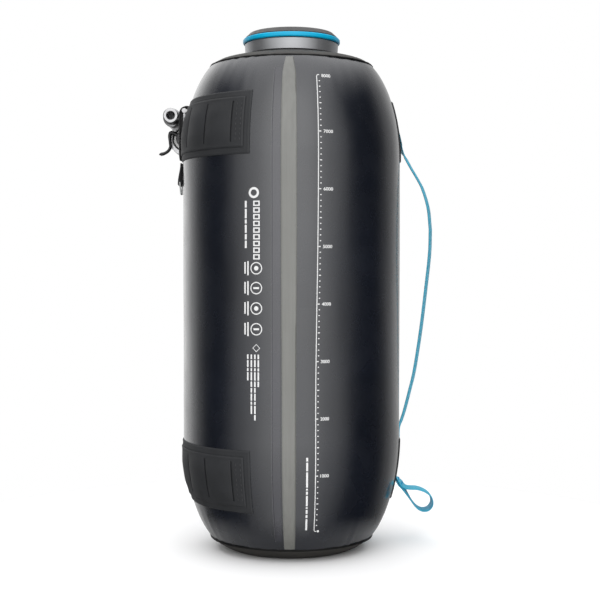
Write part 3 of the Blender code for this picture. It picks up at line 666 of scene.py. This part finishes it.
THREAD_GRAIN = {"grain": 2600.0, "strength": 0.3}
LOOKS = {
    "film": film_look("coated_film", (0.0046, 0.006, 0.0102)),
    "flap": film_look("seam_flap", (0.012, 0.0124, 0.019)),
    # The bead's film is paler than the flap's: a painted highlight along the flap's edge.
    "bead": film_look("seam_bead_painted_highlight", (0.034, 0.034, 0.04)),
    "panel": film_look("end_panel_film", (0.03, 0.0285, 0.0255), 0.0, 0.25, 0.5, 0.6),
    "weld": film_look("welded_rim", (0.004, 0.004, 0.004), 0.0, 0.15, 0.55, 0.65),
    "tape": tape_look(),
    "ink": ink_look(),
    "patch": patch_look(),
    "blue": webbing_look("blue_webbing", (0.004, 0.27, 0.43), (0.03, 0.49, 0.68), 0.5),
    "thread": plastic_look("blue_thread", (0.012, 0.26, 0.5), 0.5, 0.6, **THREAD_GRAIN),
    "dark_thread": plastic_look("dark_thread", (0.03, 0.03, 0.033), 0.5, 0.6, **THREAD_GRAIN),
    "black": webbing_look("black_webbing", (0.01, 0.01, 0.011), (0.024, 0.024, 0.026), 0.62, 0.0012),
    "cap": plastic_look("cap_grey", (0.285, 0.29, 0.3), 0.3, 0.36, metallic=0.68),
    "cap_top": plastic_look("cap_dark", (0.018, 0.0175, 0.0175), 0.38, 0.48),
    "ring": plastic_look("cap_ring_blue", (0.001, 0.34, 0.56), 0.3, 0.38, strength=0.03, gloss=0.25),
    "neck": plastic_look("neck_dark", (0.022, 0.022, 0.023), 0.36, 0.46),
    "rubber": plastic_look("seal_rubber", (0.012, 0.012, 0.012), 0.55, 0.7, grain=1600.0, strength=0.2),
    "metal": metal_look("tap_alloy", (0.32, 0.32, 0.325)),
    "dark_metal": metal_look("lever_alloy", (0.034, 0.034, 0.035)),
    "white": plastic_look("retainer_white", (0.62, 0.62, 0.61), 0.34, 0.42),
    "grey": plastic_look("ring_grey", (0.36, 0.37, 0.37), 0.34, 0.44),
}
# Some of the looks, each paired with another look's name.
SLOT_OF = {
    **dict.fromkeys(("flap", "bead", "panel", "weld", "ink"), "film"),
    "thread": "blue",
    "dark_thread": "patch",
    "dark_metal": "metal",
}


# ---- camera, light and floor

def make_camera():
    data = bpy.data.cameras.new("camera")
    data.lens = 75.9
    data.sensor_width = 36.0
    camera = add_object("camera", data)
    camera.location = (0.0, -1.02, 0.219)
    downward, rightward = radians(1.132181), radians(0.384985)
    camera.rotation_euler = (pi / 2.0 - downward, 0.0, -rightward)
    bpy.context.scene.camera = camera


# Reflections see the floor out to the first distance, and only the walls past the second.
FLOOR_SEEN = (0.078, 0.11)


def make_floor():
    shape = bmesh.new()
    bmesh.ops.create_circle(shape, cap_ends=True, segments=128, radius=0.34)
    mesh = bpy.data.meshes.new("floor")
    shape.to_mesh(mesh)
    shape.free()
    floor = add_object("floor", mesh)
    made = Shader("floor", (0.93, 0.93, 0.93), 0.75, Specular_IOR_Level=0.2)
    glossy = made.node("LightPath").outputs["Is Glossy Ray"]
    pale = made.colour(made.noise(3.0, 2.0), rgb(0.92, 0.92, 0.92), rgb(0.94, 0.94, 0.94))
    # Reflections see the floor mid grey, not pale: painted shade, a shadowed floor for the film's base and
    # lower shoulders to reflect.
    made.set_colour(made.colour(glossy, pale, rgb(0.45, 0.45, 0.45)))
    where = made.node("SeparateXYZ", {"Vector": made.coords.outputs["Object"]}).outputs
    squares = [made.maths("MULTIPLY", where[axis], where[axis]) for axis in "XY"]
    far = made.ramp(made.maths("ADD", *squares), *(distance ** 2 for distance in FLOOR_SEEN))
    seen = made.maths("MULTIPLY", far, glossy)
    clear = made.node("BsdfTransparent").outputs["BSDF"]
    mixed = made.node("MixShader", {0: seen, 1: made.shader.outputs["BSDF"], 2: clear})
    made.tree.links.new(mixed.outputs["Shader"], made.tree.nodes["Material Output"].inputs["Surface"])
    mesh.materials.append(made.material)


# Brightness of the walls by bearing, from straight behind (0) to straight before (1).
WALL_LEVELS = (
    (0.0, 1.2), (0.11, 1.15), (0.22, 0.72), (0.31, 0.3), (0.4, 0.08), (0.5, 0.03), (0.62, 0.05),
    (0.7, 0.32), (0.77, 0.95), (0.87, 1.55), (1.0, 2.8),
)
# Share of it that is left in front, by the rise of the direction: straight down 0, level 0.5.
FRONT_LEVELS = (
    (0.0, 0.4), (0.25, 0.48), (0.4, 0.63), (0.45, 0.7), (0.49, 0.82), (0.53, 0.92), (0.58, 0.97),
    (1.0, 0.97),
)


def make_world():
    """Bright walls before and behind, dark ones at the sides, and a bright ceiling."""
    world = bpy.data.worlds.new("studio")
    world.use_nodes = True
    world.node_tree.nodes.clear()
    bpy.context.scene.world = world
    sky = Nodes(world.node_tree)
    way = sky.coords.outputs["Generated"]
    rise = sky.node("SeparateXYZ", {"Vector": way}).outputs["Z"]
    level = sky.node("VectorMath", {0: way, 1: (1.0, 1.0, 0.0)}, operation="MULTIPLY").outputs["Vector"]
    unit = sky.node("VectorMath", {0: level}, operation="NORMALIZE").outputs["Vector"]
    facing = sky.node("SeparateXYZ", {"Vector": unit}).outputs
    share = sky.ramp(facing["Y"], 1.0, -1.0)
    walls = sky.levels(share, WALL_LEVELS, "EASE")
    front = sky.levels(sky.ramp(rise, -1.0, 1.0), FRONT_LEVELS, "LINEAR")
    back = sky.ramp(rise, -0.5, -0.05, 0.12, 1.0)
    ahead = sky.maths("GREATER_THAN", share, 0.5)
    kept = sky.node("Mix", {0: ahead, 2: back, 3: front}).outputs[0]
    rightward = sky.maths("ADD", sky.maths("MULTIPLY", facing["Y"], 0.6), facing["X"])
    kept = sky.maths("MULTIPLY", kept, sky.ramp(rightward, 0.15, 0.75, 1.0, 0.5))
    lit = sky.maths("MULTIPLY", walls, kept)
    ceiling = sky.ramp(rise, 0.5, 0.95, interpolation_type="SMOOTHSTEP")
    light = sky.node("Background", {"Color": sky.colour(ceiling, lit, rgb(2.0, 2.0, 2.02))})
    plain = sky.node("Background", {"Color": rgb(1.0, 1.0, 1.0)})
    seen = sky.node("LightPath").outputs["Is Camera Ray"]
    either = sky.node("MixShader", {0: seen, 1: light.outputs[0], 2: plain.outputs[0]})
    sky.node("OutputWorld", {"Surface": either.outputs[0]})
    bpy.context.scene.view_settings.view_transform = "Standard"


# ---- film body

def make_film():
    steps = 240
    heights = [FILM_FOOT]
    for low, high, count in ((FILM_FOOT, 0.1, 46), (0.1, 0.3, 34), (0.3, FILM_TOP, 50)):
        heights += spread(low, high, count)[1:]
    bearings = [360.0 * step / steps for step in range(steps)]
    film_sheet(
        "film_body", bearings, heights, lambda b, h: -FILM, FILM, "film", ("tube_film",),
        round_u=True, sharp=SHARP,
    )


def pucker(turn, radius, height):
    """The welded rims ripple a little with the film that they gather."""
    drift = noise.noise(Vector((cos(turn) * 2.3, sin(turn) * 2.3, 4.0)))
    wave = sin(turn * 31.0 + drift * 9.0)
    near = ease(radius, 0.05, 0.064)
    return radius + wave * 0.00004 * near, height + wave * 0.00007 * near


def end_piece(name, outline, look, node):
    turned(name, outline, 0.0, look, "bladder", (node,), steps=192, wobble=pucker)


def make_ends():
    top = [
        (0.0335, 0.3903), (0.0335, 0.3912), (0.0446, 0.3912), (0.05, 0.3908), (0.055, 0.39),
        (0.059, 0.3888), (0.062, 0.3872), (0.0641, 0.3855), (0.0634, 0.3848), (0.0614, 0.3864),
        (0.0585, 0.3879), (0.0546, 0.3891), (0.0498, 0.3899), (0.0446, 0.3903),
    ]
    end_piece("top_panel", top, "panel", "top_end_panel")
    base = [
        (0.0, 0.0), (0.045, 0.0), (0.05, 0.0009), (0.056, 0.0036), (0.061, 0.007), (0.0638, 0.0094),
        (0.063, 0.0101), (0.0604, 0.0079), (0.0554, 0.0045), (0.0496, 0.0018), (0.0448, 0.0009),
        (0.0, 0.0009),
    ]
    end_piece("base_panel", base, "panel", "bottom_end_panel")
    turns = [tau * step / 14 for step in range(14)]
    welds = (("top_weld", "top_weld_ring", 0.3849), ("base_weld", "bottom_weld_ring", 0.0101))
    for name, node, height in welds:
        outline = [(0.0646 + cos(turn) * 0.0009, height + sin(turn) * 0.0009) for turn in turns]
        end_piece(name, outline, "weld", node)


def make_seam():
    """The seam's light tape, and left of it the flap with a bead along its edge."""

    def tape_lift(b, _):
        edge = min(b - TAPE_BEARINGS[0], TAPE_BEARINGS[1] - b)
        bead = ridge(TAPE_BEARINGS[1] - b, 0.55, 0.35)
        return 0.00008 - 0.0003 * (1.0 - ease(edge, 0.0, 0.4)) + 0.00028 * bead

    def narrow(b, h):
        share = (0.88 + 0.12 * ease(h, 0.1, 0.28)) * (1.0 - 0.4 * ease(h, 0.368, 0.386))
        return TAPE_MIDDLE + (b - TAPE_MIDDLE) * share

    def flap_lift(b, _):
        edge = b - FLAP_BEARINGS[0]
        bead = ridge(edge, 0.35, 0.22)
        return 0.00002 - 0.00022 * (1.0 - ease(edge, 0.0, 0.3)) + 0.00012 * bead

    bearings, heights = spread(*TAPE_BEARINGS, 14), spread(0.0115, 0.383, 150)
    film_sheet("lap_seam", bearings, heights, tape_lift, 0.0004, "tape", ("lap_seam_tape",), bend=narrow)
    bearings, heights = spread(*FLAP_BEARINGS, 10), spread(0.018, 0.374, 140)
    film_sheet("lap_seam_flap", bearings, heights, flap_lift, 0.0003, "flap")
    # A paler strip of film over the flap's edge bead: a painted highlight, the light line that the bead
    # would catch.
    bearings = spread(FLAP_BEARINGS[0] - 0.12, FLAP_BEARINGS[0] + 0.28, 6)
    film_sheet("lap_seam_bead", bearings, heights, lambda b, h: 0.0002, 0.0003, "bead")


# ---- print

INK_LIFT = 0.00016
# How far the figures' outlines are thickened, in units of the font's size.
FIGURE_WEIGHT = 0.02


class Print:
    """Flat ink on the film: outlines in millimetres about places at one bearing.

    lean is the share of its way from the front that the print drifts back by, low on the film.
    """

    def __init__(self, bearing, lean=0.0):
        self.shape = bmesh.new()
        self.bearing = bearing
        self.lean = lean

    def spot(self, x, y, height):
        """A point of the ink; upright lines keep nearly upright over the shoulders."""
        level = height + y / 1000.0
        radius, _ = outline_point(level)
        away = self.bearing - FRONT + degrees(x / 1000.0 / BODY_RADIUS)
        away *= (BODY_RADIUS / radius) ** 0.55 * (1.0 - self.lean * (1.0 - ease(level, 0.11, 0.3)))
        return self.shape.verts.new(on_film(FRONT + away, level, INK_LIFT))

    def lay(self, corners, height):
        self.shape.faces.new([self.spot(x, y, height) for x, y in corners])

    def bar(self, height, x0, y0, x1, y1, step=1.0):
        """An upright or level bar, cut up so that it follows the film."""
        tall = max(1, round(abs(y1 - y0) / step))
        wide = max(1, round(abs(x1 - x0) / step))
        for i in range(wide):
            for j in range(tall):
                xa, xb = x0 + (x1 - x0) * i / wide, x0 + (x1 - x0) * (i + 1) / wide
                ya, yb = y0 + (y1 - y0) * j / tall, y0 + (y1 - y0) * (j + 1) / tall
                self.lay([(xa, ya), (xb, ya), (xb, yb), (xa, yb)], height)

    def ring(self, height, x, radius, width, sides=32):
        for k in range(sides):
            a, b = tau * k / sides, tau * (k + 1) / sides
            inside = radius - width
            spots = ((radius, a), (radius, b), (inside, b), (inside, a))
            self.lay([(x + r * cos(turn), r * sin(turn)) for r, turn in spots], height)

    def dot(self, height, x, y, radius, sides=16):
        turns = [tau * k / sides for k in range(sides)]
        self.lay([(x + radius * cos(turn), y + radius * sin(turn)) for turn in turns], height)

    def number(self, value, height, x, width, tall):
        """A number of the scale, its left end at x and its middle at height."""
        curve = bpy.data.curves.new("number", "FONT")
        curve.body = str(value)
        curve.offset = FIGURE_WEIGHT
        guide = add_object("number", curve)
        bpy.context.view_layer.update()
        mesh = bpy.data.meshes.new_from_object(guide.evaluated_get(bpy.context.evaluated_depsgraph_get()))
        bpy.data.objects.remove(guide)
        bpy.data.curves.remove(curve)
        xs, ys = zip(*((vertex.co.x, vertex.co.y) for vertex in mesh.vertices))
        made = []
        for right, up in zip(xs, ys):
            u = x + (right - min(xs)) / (max(xs) - min(xs)) * width
            v = ((up - min(ys)) / (max(ys) - min(ys)) - 0.5) * tall
            made.append(self.spot(u, v, height))
        for face in mesh.polygons:
            self.shape.faces.new([made[k] for k in face.vertices])
        bpy.data.meshes.remove(mesh)

    def done(self, name):
        bmesh.ops.remove_doubles(self.shape, verts=self.shape.verts, dist=1e-7)
        finish_mesh(name, self.shape, "ink")


SCALE_FOOT = 0.027
SCALE_STEP = 0.04262


def make_scale():
    """The volume scale: a line with a mark every hundred millilitres and a number every litre."""
    ink = Print(-76.7, lean=0.1)
    top = SCALE_FOOT + 8 * SCALE_STEP
    length = (top - SCALE_FOOT) * 1000.0
    ink.bar(SCALE_FOOT, -0.45, 0.6, 0.25, length - 0.6, 2.0)
    for height, up in ((SCALE_FOOT, -1.0), (top, 1.0)):
        ink.bar(height, 0.55, up * 0.35, 2.1, up * 0.95, 0.8)
        corner = [(-0.45, -0.6 * up), (0.25, -0.6 * up), (0.75, up * 0.35), (0.55, up * 0.95)]
        ink.lay(corner[:: int(up)], height)
    ink.dot(SCALE_FOOT, 3.6, -0.6, 1.0)
    for tenth in range(1, 80):
        height = SCALE_FOOT + tenth * SCALE_STEP / 10.0
        if tenth % 10 == 0:
            ink.bar(height, 0.45, -0.4, 2.1, 0.4, 0.9)
        else:
            reach = 0.85 if tenth % 5 == 0 else 0.55
            ink.bar(height, 1.9 - reach, -0.36, 1.9 + reach, 0.36, 0.6)
    for litre in range(1, 9):
        ink.number(litre * 1000, SCALE_FOOT + litre * SCALE_STEP, 3.9, 7.6, 2.5)
    start = 0.6
    for length in (9.0, 2.4, 3.2, 1.2, 8.0, 2.4, 1.4, 11.5, 6.5, 2.8):
        ink.bar(SCALE_FOOT, -8.0, start, -6.4, start + length)
        start += length + 0.85
    ink.done("volume_scale")


def make_marks():
    """Plain marks in place of the printed words on the left: rings, bars and rows of dashes."""
    ink = Print(-107.9)
    ink.ring(0.28, -1.3, 4.1, 1.7)
    word = 0.274
    for block in range(9):
        top, foot = -block * 4.95, -block * 4.95 - 3.9
        ink.bar(word, -1.8, foot, -0.7, top)
        ink.bar(word, 2.3, foot, 3.4, top)
        ink.bar(word, -0.7, foot, 2.3, foot + 0.9)
        ink.bar(word, -0.7, top - 0.9, 2.3, top)
    start = 0.0
    for length in (5.0, 7.0, 3.0, 6.0, 4.0, 5.5):
        ink.bar(word, -8.6, -start - length, -7.0, -start)
        start += length + 0.9
    for number, height in enumerate((0.224, 0.2093, 0.1942, 0.1788)):
        ink.ring(height, 0.6, 4.6, 0.75)
        if number % 2 == 0:
            ink.dot(height, 0.6, 0.0, 1.7)
        else:
            ink.bar(height, -1.6, -0.7, 2.8, 0.7, 0.8)
        ink.bar(height, -6.6, -5.2, -5.4, 5.2)
        ink.bar(height, -9.0, -4.0, -7.8, 4.6)
    ink.ring(0.1648, 0.6, 3.0, 0.6, 4)
    for x, total in ((2.2, 21.0), (-0.5, 49.0), (-3.3, 41.0), (-6.2, 15.0)):
        start = 0.0
        number = 0
        while start < total:
            length = (3.4, 5.2, 2.2, 6.1, 4.0)[number % 5]
            ink.bar(0.16, x - 0.6, -start - length, x + 0.6, -start)
            start += length + 0.8
            number += 1
    ink.done("plain_marks")


# ---- patches

def cloth_edge(edge, base, drop, bead_at, bead):
    """Lift of a layer of cloth: pressed down at its very edge, with a stitched bead beside it."""
    return base - drop * (1.0 - ease(edge, 0.0, 0.0006)) + bead * ridge(edge, bead_at, 0.0005)


def make_patches():
    """The welded backings of all four patches, and the slit layers of the left ones."""
    for level, heights in zip(("upper", "lower"), PATCH_HEIGHTS):
        for side, bearings in (("left", LEFT_PATCH), ("right", RIGHT_PATCH)):

            def lift(b, h, bearings=bearings, heights=heights):
                edge = from_edge(b, h, bearings, heights)
                second = 0.0002 * ridge(edge, 0.0038, 0.0005)
                return cloth_edge(edge, 0.00004, 0.0004, 0.0012, 0.0002) + second

            name, replaced = f"{level}_{side}_backing", (f"{level}_{side}_patch",)
            columns, rows = spread(*bearings, 160), spread(*heights, 56)
            film_sheet(name, columns, rows, lift, PATCH_CLOTH, "patch", replaced)
        make_bridges(level, *heights)


def make_bridges(level, low, high):
    """The slit outer layer of a left patch, its bridges standing off between their slits."""
    first, last = LEFT_PATCH[0] + 3.3, LEFT_PATCH[1] - 3.3
    foot, top = low + 0.005, high - 0.005
    bearings = spread(first, SLITS[0] - SLIT_HALF, 26)
    slit_columns = []
    for slit in SLITS:
        slit_columns.append(len(bearings) - 1)
        if slit == SLITS[-1]:
            bearings += spread(slit + SLIT_HALF, last, 14)
        else:
            bearings += spread(slit + SLIT_HALF, slit + SLIT_STEP - SLIT_HALF, 34)
    heights = spread(foot, top, 46)

    def lift(b, h):
        edge = from_edge(b, h, (first, last), (foot, top))
        rise = cloth_edge(edge, 0.0009, 0.0004, 0.0011, 0.00018)
        if SLITS[0] < b < SLITS[-1]:
            phase = (b - SLITS[0]) / SLIT_STEP
            rise += 0.0014 * abs(sin(pi * phase)) ** 0.7 * band(h, foot, top, 0.013)
        return rise

    def slit_here(c, r):
        return c in slit_columns and foot + 0.0035 < heights[r] < top - 0.0042

    name, replaced = f"{level}_left_bridges", (f"{level}_left_daisy_chain",)
    film_sheet(name, bearings, heights, lift, PATCH_CLOTH, "patch", replaced, slit_here)


def thread_line(bearing, low, high, pieces, lift):
    """Rows for stitches() that run up the film at a bearing."""
    points = [on_film(bearing, height, lift) for height in spread(low, high, pieces + 1)]
    return [(start, end, around(bearing, 1.0, 0.0)) for start, end in zip(points, points[1:])]


def make_patch_stitches():
    """Two rows of thread beside the front slit of each left patch."""
    for level, (low, high) in zip(("upper", "lower"), PATCH_HEIGHTS):
        rows = []
        for bearing in (SLITS[-1] + 2.6, SLITS[-1] + 5.2):
            rows += thread_line(bearing, low + 0.009, high - 0.009, 4, 0.0018)
        stitches(f"{level}_left_stitches", rows, "dark_thread")


def make_tunnels():
    """The outer layers of the right patches, that rise over the strap."""
    ends = (HANDLE_BEARING - TUNNEL_HALF, HANDLE_BEARING + TUNNEL_HALF)
    for level, (low, high) in zip(("upper", "lower"), TUNNEL_HEIGHTS):

        def lift(b, h, low=low, high=high):
            raised = 0.0017 * (1.0 - ease(abs(b - HANDLE_BEARING), 6.6, 9.6))
            return 0.001 + raised + 0.00015 * ridge(from_edge(b, h, ends, (low, high)), 0.0011, 0.0005)

        name, replaced = f"{level}_right_tunnel", (f"{level}_right_strap_tunnel",)
        film_sheet(name, spread(*ends, 66), spread(low, high, 22), lift, 0.0006, "patch", replaced)


# ---- webbing

def lifted(height):
    """(radius, height) of the strap's middle where it lies on its patch."""
    radius, normal = outline_point(height)
    return (radius + 0.0019 * normal.x, height + 0.0019 * normal.y)


def make_handle():
    """The strap in two halves that meet in its middle, each curving out from its patch at its sewn end."""
    upper = [
        lifted(0.35), lifted(0.342), (0.0889, 0.333), (0.0919, 0.3235), (0.0958, 0.317), (0.101, 0.308),
        (0.107, 0.2985), (0.1119, 0.2895), (0.1167, 0.274), (0.1186, 0.2565),
    ]
    lower = [
        (0.1186, 0.2565), (0.118, 0.237), (0.115, 0.21), (0.1104, 0.174), (0.105, 0.141), (0.1008, 0.124),
        (0.0963, 0.1075), (0.0926, 0.0965), (0.0898, 0.086), lifted(0.074), lifted(0.065), lifted(0.056),
    ]
    flat, free = HANDLE_BEARING, -12.0
    upper_facings = (flat, flat, flat - 4.0, free, free, free, free, free, free)
    lower_facings = (*(free,) * 16, flat - 10.0, flat, flat, flat)
    for name, run, facings, bend_from, bend_to in (
        ("upper", upper, upper_facings, (0.0919, 0.326), (0.107, 0.295)),
        ("lower", lower, lower_facings, (0.093, 0.092), (0.1008, 0.13)),
    ):
        path = upright_path(HANDLE_BEARING, run)
        replaced = (f"handle_{name}_end", "handle_strap")
        half = webbing(f"handle_{name}_half", path, facings, WEBBING_WIDTH, WEBBING, "blue", replaced)
        ends = (around(HANDLE_BEARING, *spot) for spot in (bend_from, bend_to))
        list(ends)
        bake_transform(half)


def make_pull_loop():
    loop = [
        (0.0865, 0.0527), (0.0908, 0.0479), (0.0951, 0.0431), (0.0989, 0.0376), (0.1031, 0.0312),
        (0.1073, 0.0265), (0.1124, 0.0242), (0.1175, 0.0252), (0.1203, 0.0297), (0.119, 0.0355),
        (0.1141, 0.0398), (0.1073, 0.0424), (0.1012, 0.043), (0.0962, 0.0442), (0.0919, 0.0489),
        (0.0876, 0.0537),
    ]
    facings = (3.0, -10.0, -5.0, *(0.0,) * 6, -5.0, -10.0, 3.0)
    path = upright_path(HANDLE_BEARING, loop, 6)
    webbing("pull_loop_webbing", path, facings, WEBBING_WIDTH, WEBBING, "blue", ("pull_loop",), "pull_loop")


def make_tacks():
    """Zigzag bar tacks across the neck of the pull loop, and thread down both sides of each tunnel."""
    rows = []
    side = tangent(-6.0) * WEBBING_WIDTH * 0.42
    for (r0, z0), (r1, z1) in (((0.0904, 0.0517), (0.092, 0.05)), ((0.0934, 0.0484), (0.095, 0.0467))):
        first, last = around(HANDLE_BEARING, r0, z0), around(HANDLE_BEARING, r1, z1)
        for share in spread(-1.0, 0.8, 10):
            rows.append((first + side * share, last + side * (share + 0.2), around(45.0, 1.0, 0.0)))
    stitches("pull_loop_tack", rows, "thread", "pull_loop", length=0.002, gap=0.0002)
    rows = []
    for low, high in TUNNEL_HEIGHTS:
        for bearing in (HANDLE_BEARING - 11.4, HANDLE_BEARING + 11.4):
            rows += thread_line(bearing, low + 0.002, high - 0.002, 3, 0.0017)
    stitches("tunnel_stitches", rows, "dark_thread")


def make_black_straps():
    """The strap that keeps the tap on its patch, and the hemmed tongue that hangs below it."""
    keeper = [
        (0.0902, 0.3118), (0.0908, 0.317), (0.0908, 0.33), (0.0907, 0.344), (0.0905, 0.3505),
        (0.089, 0.3538), (0.0858, 0.3552), (0.0836, 0.3552),
    ]
    tether = [(0.0885, 0.3087), (0.0887, 0.304), (0.089, 0.299), (0.0893, 0.294), (0.0895, 0.2905)]

    def hem(share):
        return (0.0014 + 0.0029 * ease(share, 0.0, 0.85)) * (1.0 - 0.5 * ease(share, 0.93, 1.0))

    for name, bearing, run, thickness, node, body in (
        ("tap_keeper", -188.0, keeper, WEBBING, "tap_keeper_strap", "bladder"),
        ("tether_webbing", -182.0, tether, hem, "tether_loop", "tether"),
    ):
        path, facings = upright_path(bearing, run), (bearing, bearing)
        webbing(name, path, facings, BLACK_WEBBING_WIDTH, thickness, "black", (node,), body)


# ---- cap and neck

def make_cap():
    shell = [
        (0.0, 0.4015), (0.0245, 0.4015), (0.026, 0.403), (0.0265, 0.4105), (0.0342, 0.4105),
        (0.0362, 0.4086), (0.0362, 0.4034), (0.0375, 0.4032), (0.0369, 0.3948), (0.0365, 0.3945),
        (0.0354, 0.3945), (0.0352, 0.3948), (0.0352, 0.4093), (0.0277, 0.4093), (0.0275, 0.4016),
        (0.0255, 0.4003), (0.0, 0.4003),
    ]
    turned("cap_shell_fine", shell, 0.0006, "cap", "cap", ("cap_shell",))
    cover = [
        (0.0269, 0.412), (0.0334, 0.412), (0.0376, 0.408), (0.0366, 0.408), (0.0366, 0.4088),
        (0.0344, 0.41085), (0.0269, 0.41085),
    ]
    turned("cap_cover_fine", cover, 0.0005, "cap_top", "cap", ("cap_cover",))
    ring = [
        (0.0365, 0.4076), (0.0382, 0.4075), (0.0389, 0.4067), (0.0389, 0.4045), (0.0382, 0.4037),
        (0.0365, 0.4036),
    ]
    turned("cap_ring_fine", ring, 0.0006, "ring", "cap", ("cap_grip_ring",))
    gasket = [(0.0346, 0.409), (0.0346, 0.4073), (0.0289, 0.4073), (0.0289, 0.409)]
    turned("cap_gasket_fine", gasket, 0.0003, "rubber", "cap_seal", ("cap_gasket",))
    refined("cap_grip_bar", "cap_top")
    helix("cap_thread", 0.0352, 0.3985, 0.0008, 0.0009, "cap", "cap", inward=True)
    neck = [
        (0.033, 0.407), (0.033, 0.3925), (0.0446, 0.3925), (0.0446, 0.3914), (0.033, 0.3911),
        (0.033, 0.3855), (0.0285, 0.3855), (0.0285, 0.407),
    ]
    turned("neck_fine", neck, 0.0004, "neck", "bladder", ("neck_fitment",))
    helix("neck_thread", 0.033, 0.3965, 0.001, 0.0009, "neck")


# ---- tap

# Turns a piece made about Z so that its top faces -Y.
ON_Y = Matrix.Rotation(pi / 2.0, 4, "X")


def box_middle(node):
    return [(low + high) / 2.0 for low, high in zip(*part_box(node))]


def make_lever():
    """The curled finger lever: a slim tapering finger with a bulb at its tip, on a round hub."""
    x, _, z = box_middle("lever_screw")
    _, middle, _ = box_middle("lever")
    low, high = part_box("lever")
    curl = (
        (-0.003, 0.002), (-0.0072, 0.0046), (-0.0102, 0.0052), (-0.0113, 0.0022), (-0.0109, -0.003),
        (-0.0107, -0.0066), (-0.0124, -0.0098), (-0.0157, -0.012), (-0.0199, -0.013),
    )
    path = smooth_path([Vector((x + across, middle, z + up)) for across, up in curl], 6)

    def finger(share):
        slim = 0.0032 - 0.0008 * ease(share, 0.2, 0.5)
        return (slim + 0.0004 * ease(share, 0.84, 0.94)) * (1.0 - 0.65 * ease(share, 0.955, 1.0))

    wide = high.y - low.y
    webbing("lever_finger", path, (0.0, 0.0), wide, finger, "dark_metal", ("lever",), "tap_lever", 0.3)
    hub = [(0.0018, -low.y), (0.0059, -low.y), (0.0059, -high.y), (0.0018, -high.y)]
    place = Matrix.Translation((x, 0.0, z)) @ ON_Y
    turned("lever_hub", hub, 0.0005, "dark_metal", "tap_lever", (), 48, place)


def make_tap():
    x, _, z = box_middle("nozzle_tube")
    front, back = (corner.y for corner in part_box("nozzle_tube"))
    nozzle = [
        (0.0035, front), (0.0056, front), (0.00615, front + 0.0006), (0.00615, front + 0.0035),
        (0.0047, front + 0.004), (0.0047, front + 0.0066), (0.0058, front + 0.007),
        (0.006, front + 0.014), (0.0075, front + 0.0148), (0.0075, back - 0.0008), (0.007, back),
        (0.0035, back),
    ]
    place = Matrix.Translation((x, 0.0, z)) @ ON_Y
    outline = [(r, -y) for r, y in nozzle]
    turned("nozzle_fine", outline, 0.0003, "metal", "bladder", ("nozzle_tube",), 64, place)
    refined("nozzle_o_ring", "rubber")
    refined("valve_body", "metal", 0.0004)
    refined("valve_core", "grey", 0.0002)
    refined("core_retaining_ring", "white", 0.0002)
    refined("barrel_seal", "rubber")
    make_lever()
    refined("lever_screw", "metal", 0.0002)
    refined("keeper_pin", "metal", 0.0001)
    refined("port_flange", "neck", 0.0004)
    refined("port_gasket", "rubber")
    refined("tap_lock_nut", "metal", 0.0004)
    refined("tether_ring", "grey")


make_camera()
make_floor()
make_world()
make_film()
make_ends()
make_seam()
make_scale()
make_marks()
make_patches()
make_patch_stitches()
make_tunnels()
make_handle()
make_pull_loop()
make_tacks()
make_black_straps()
make_cap()
make_tap()
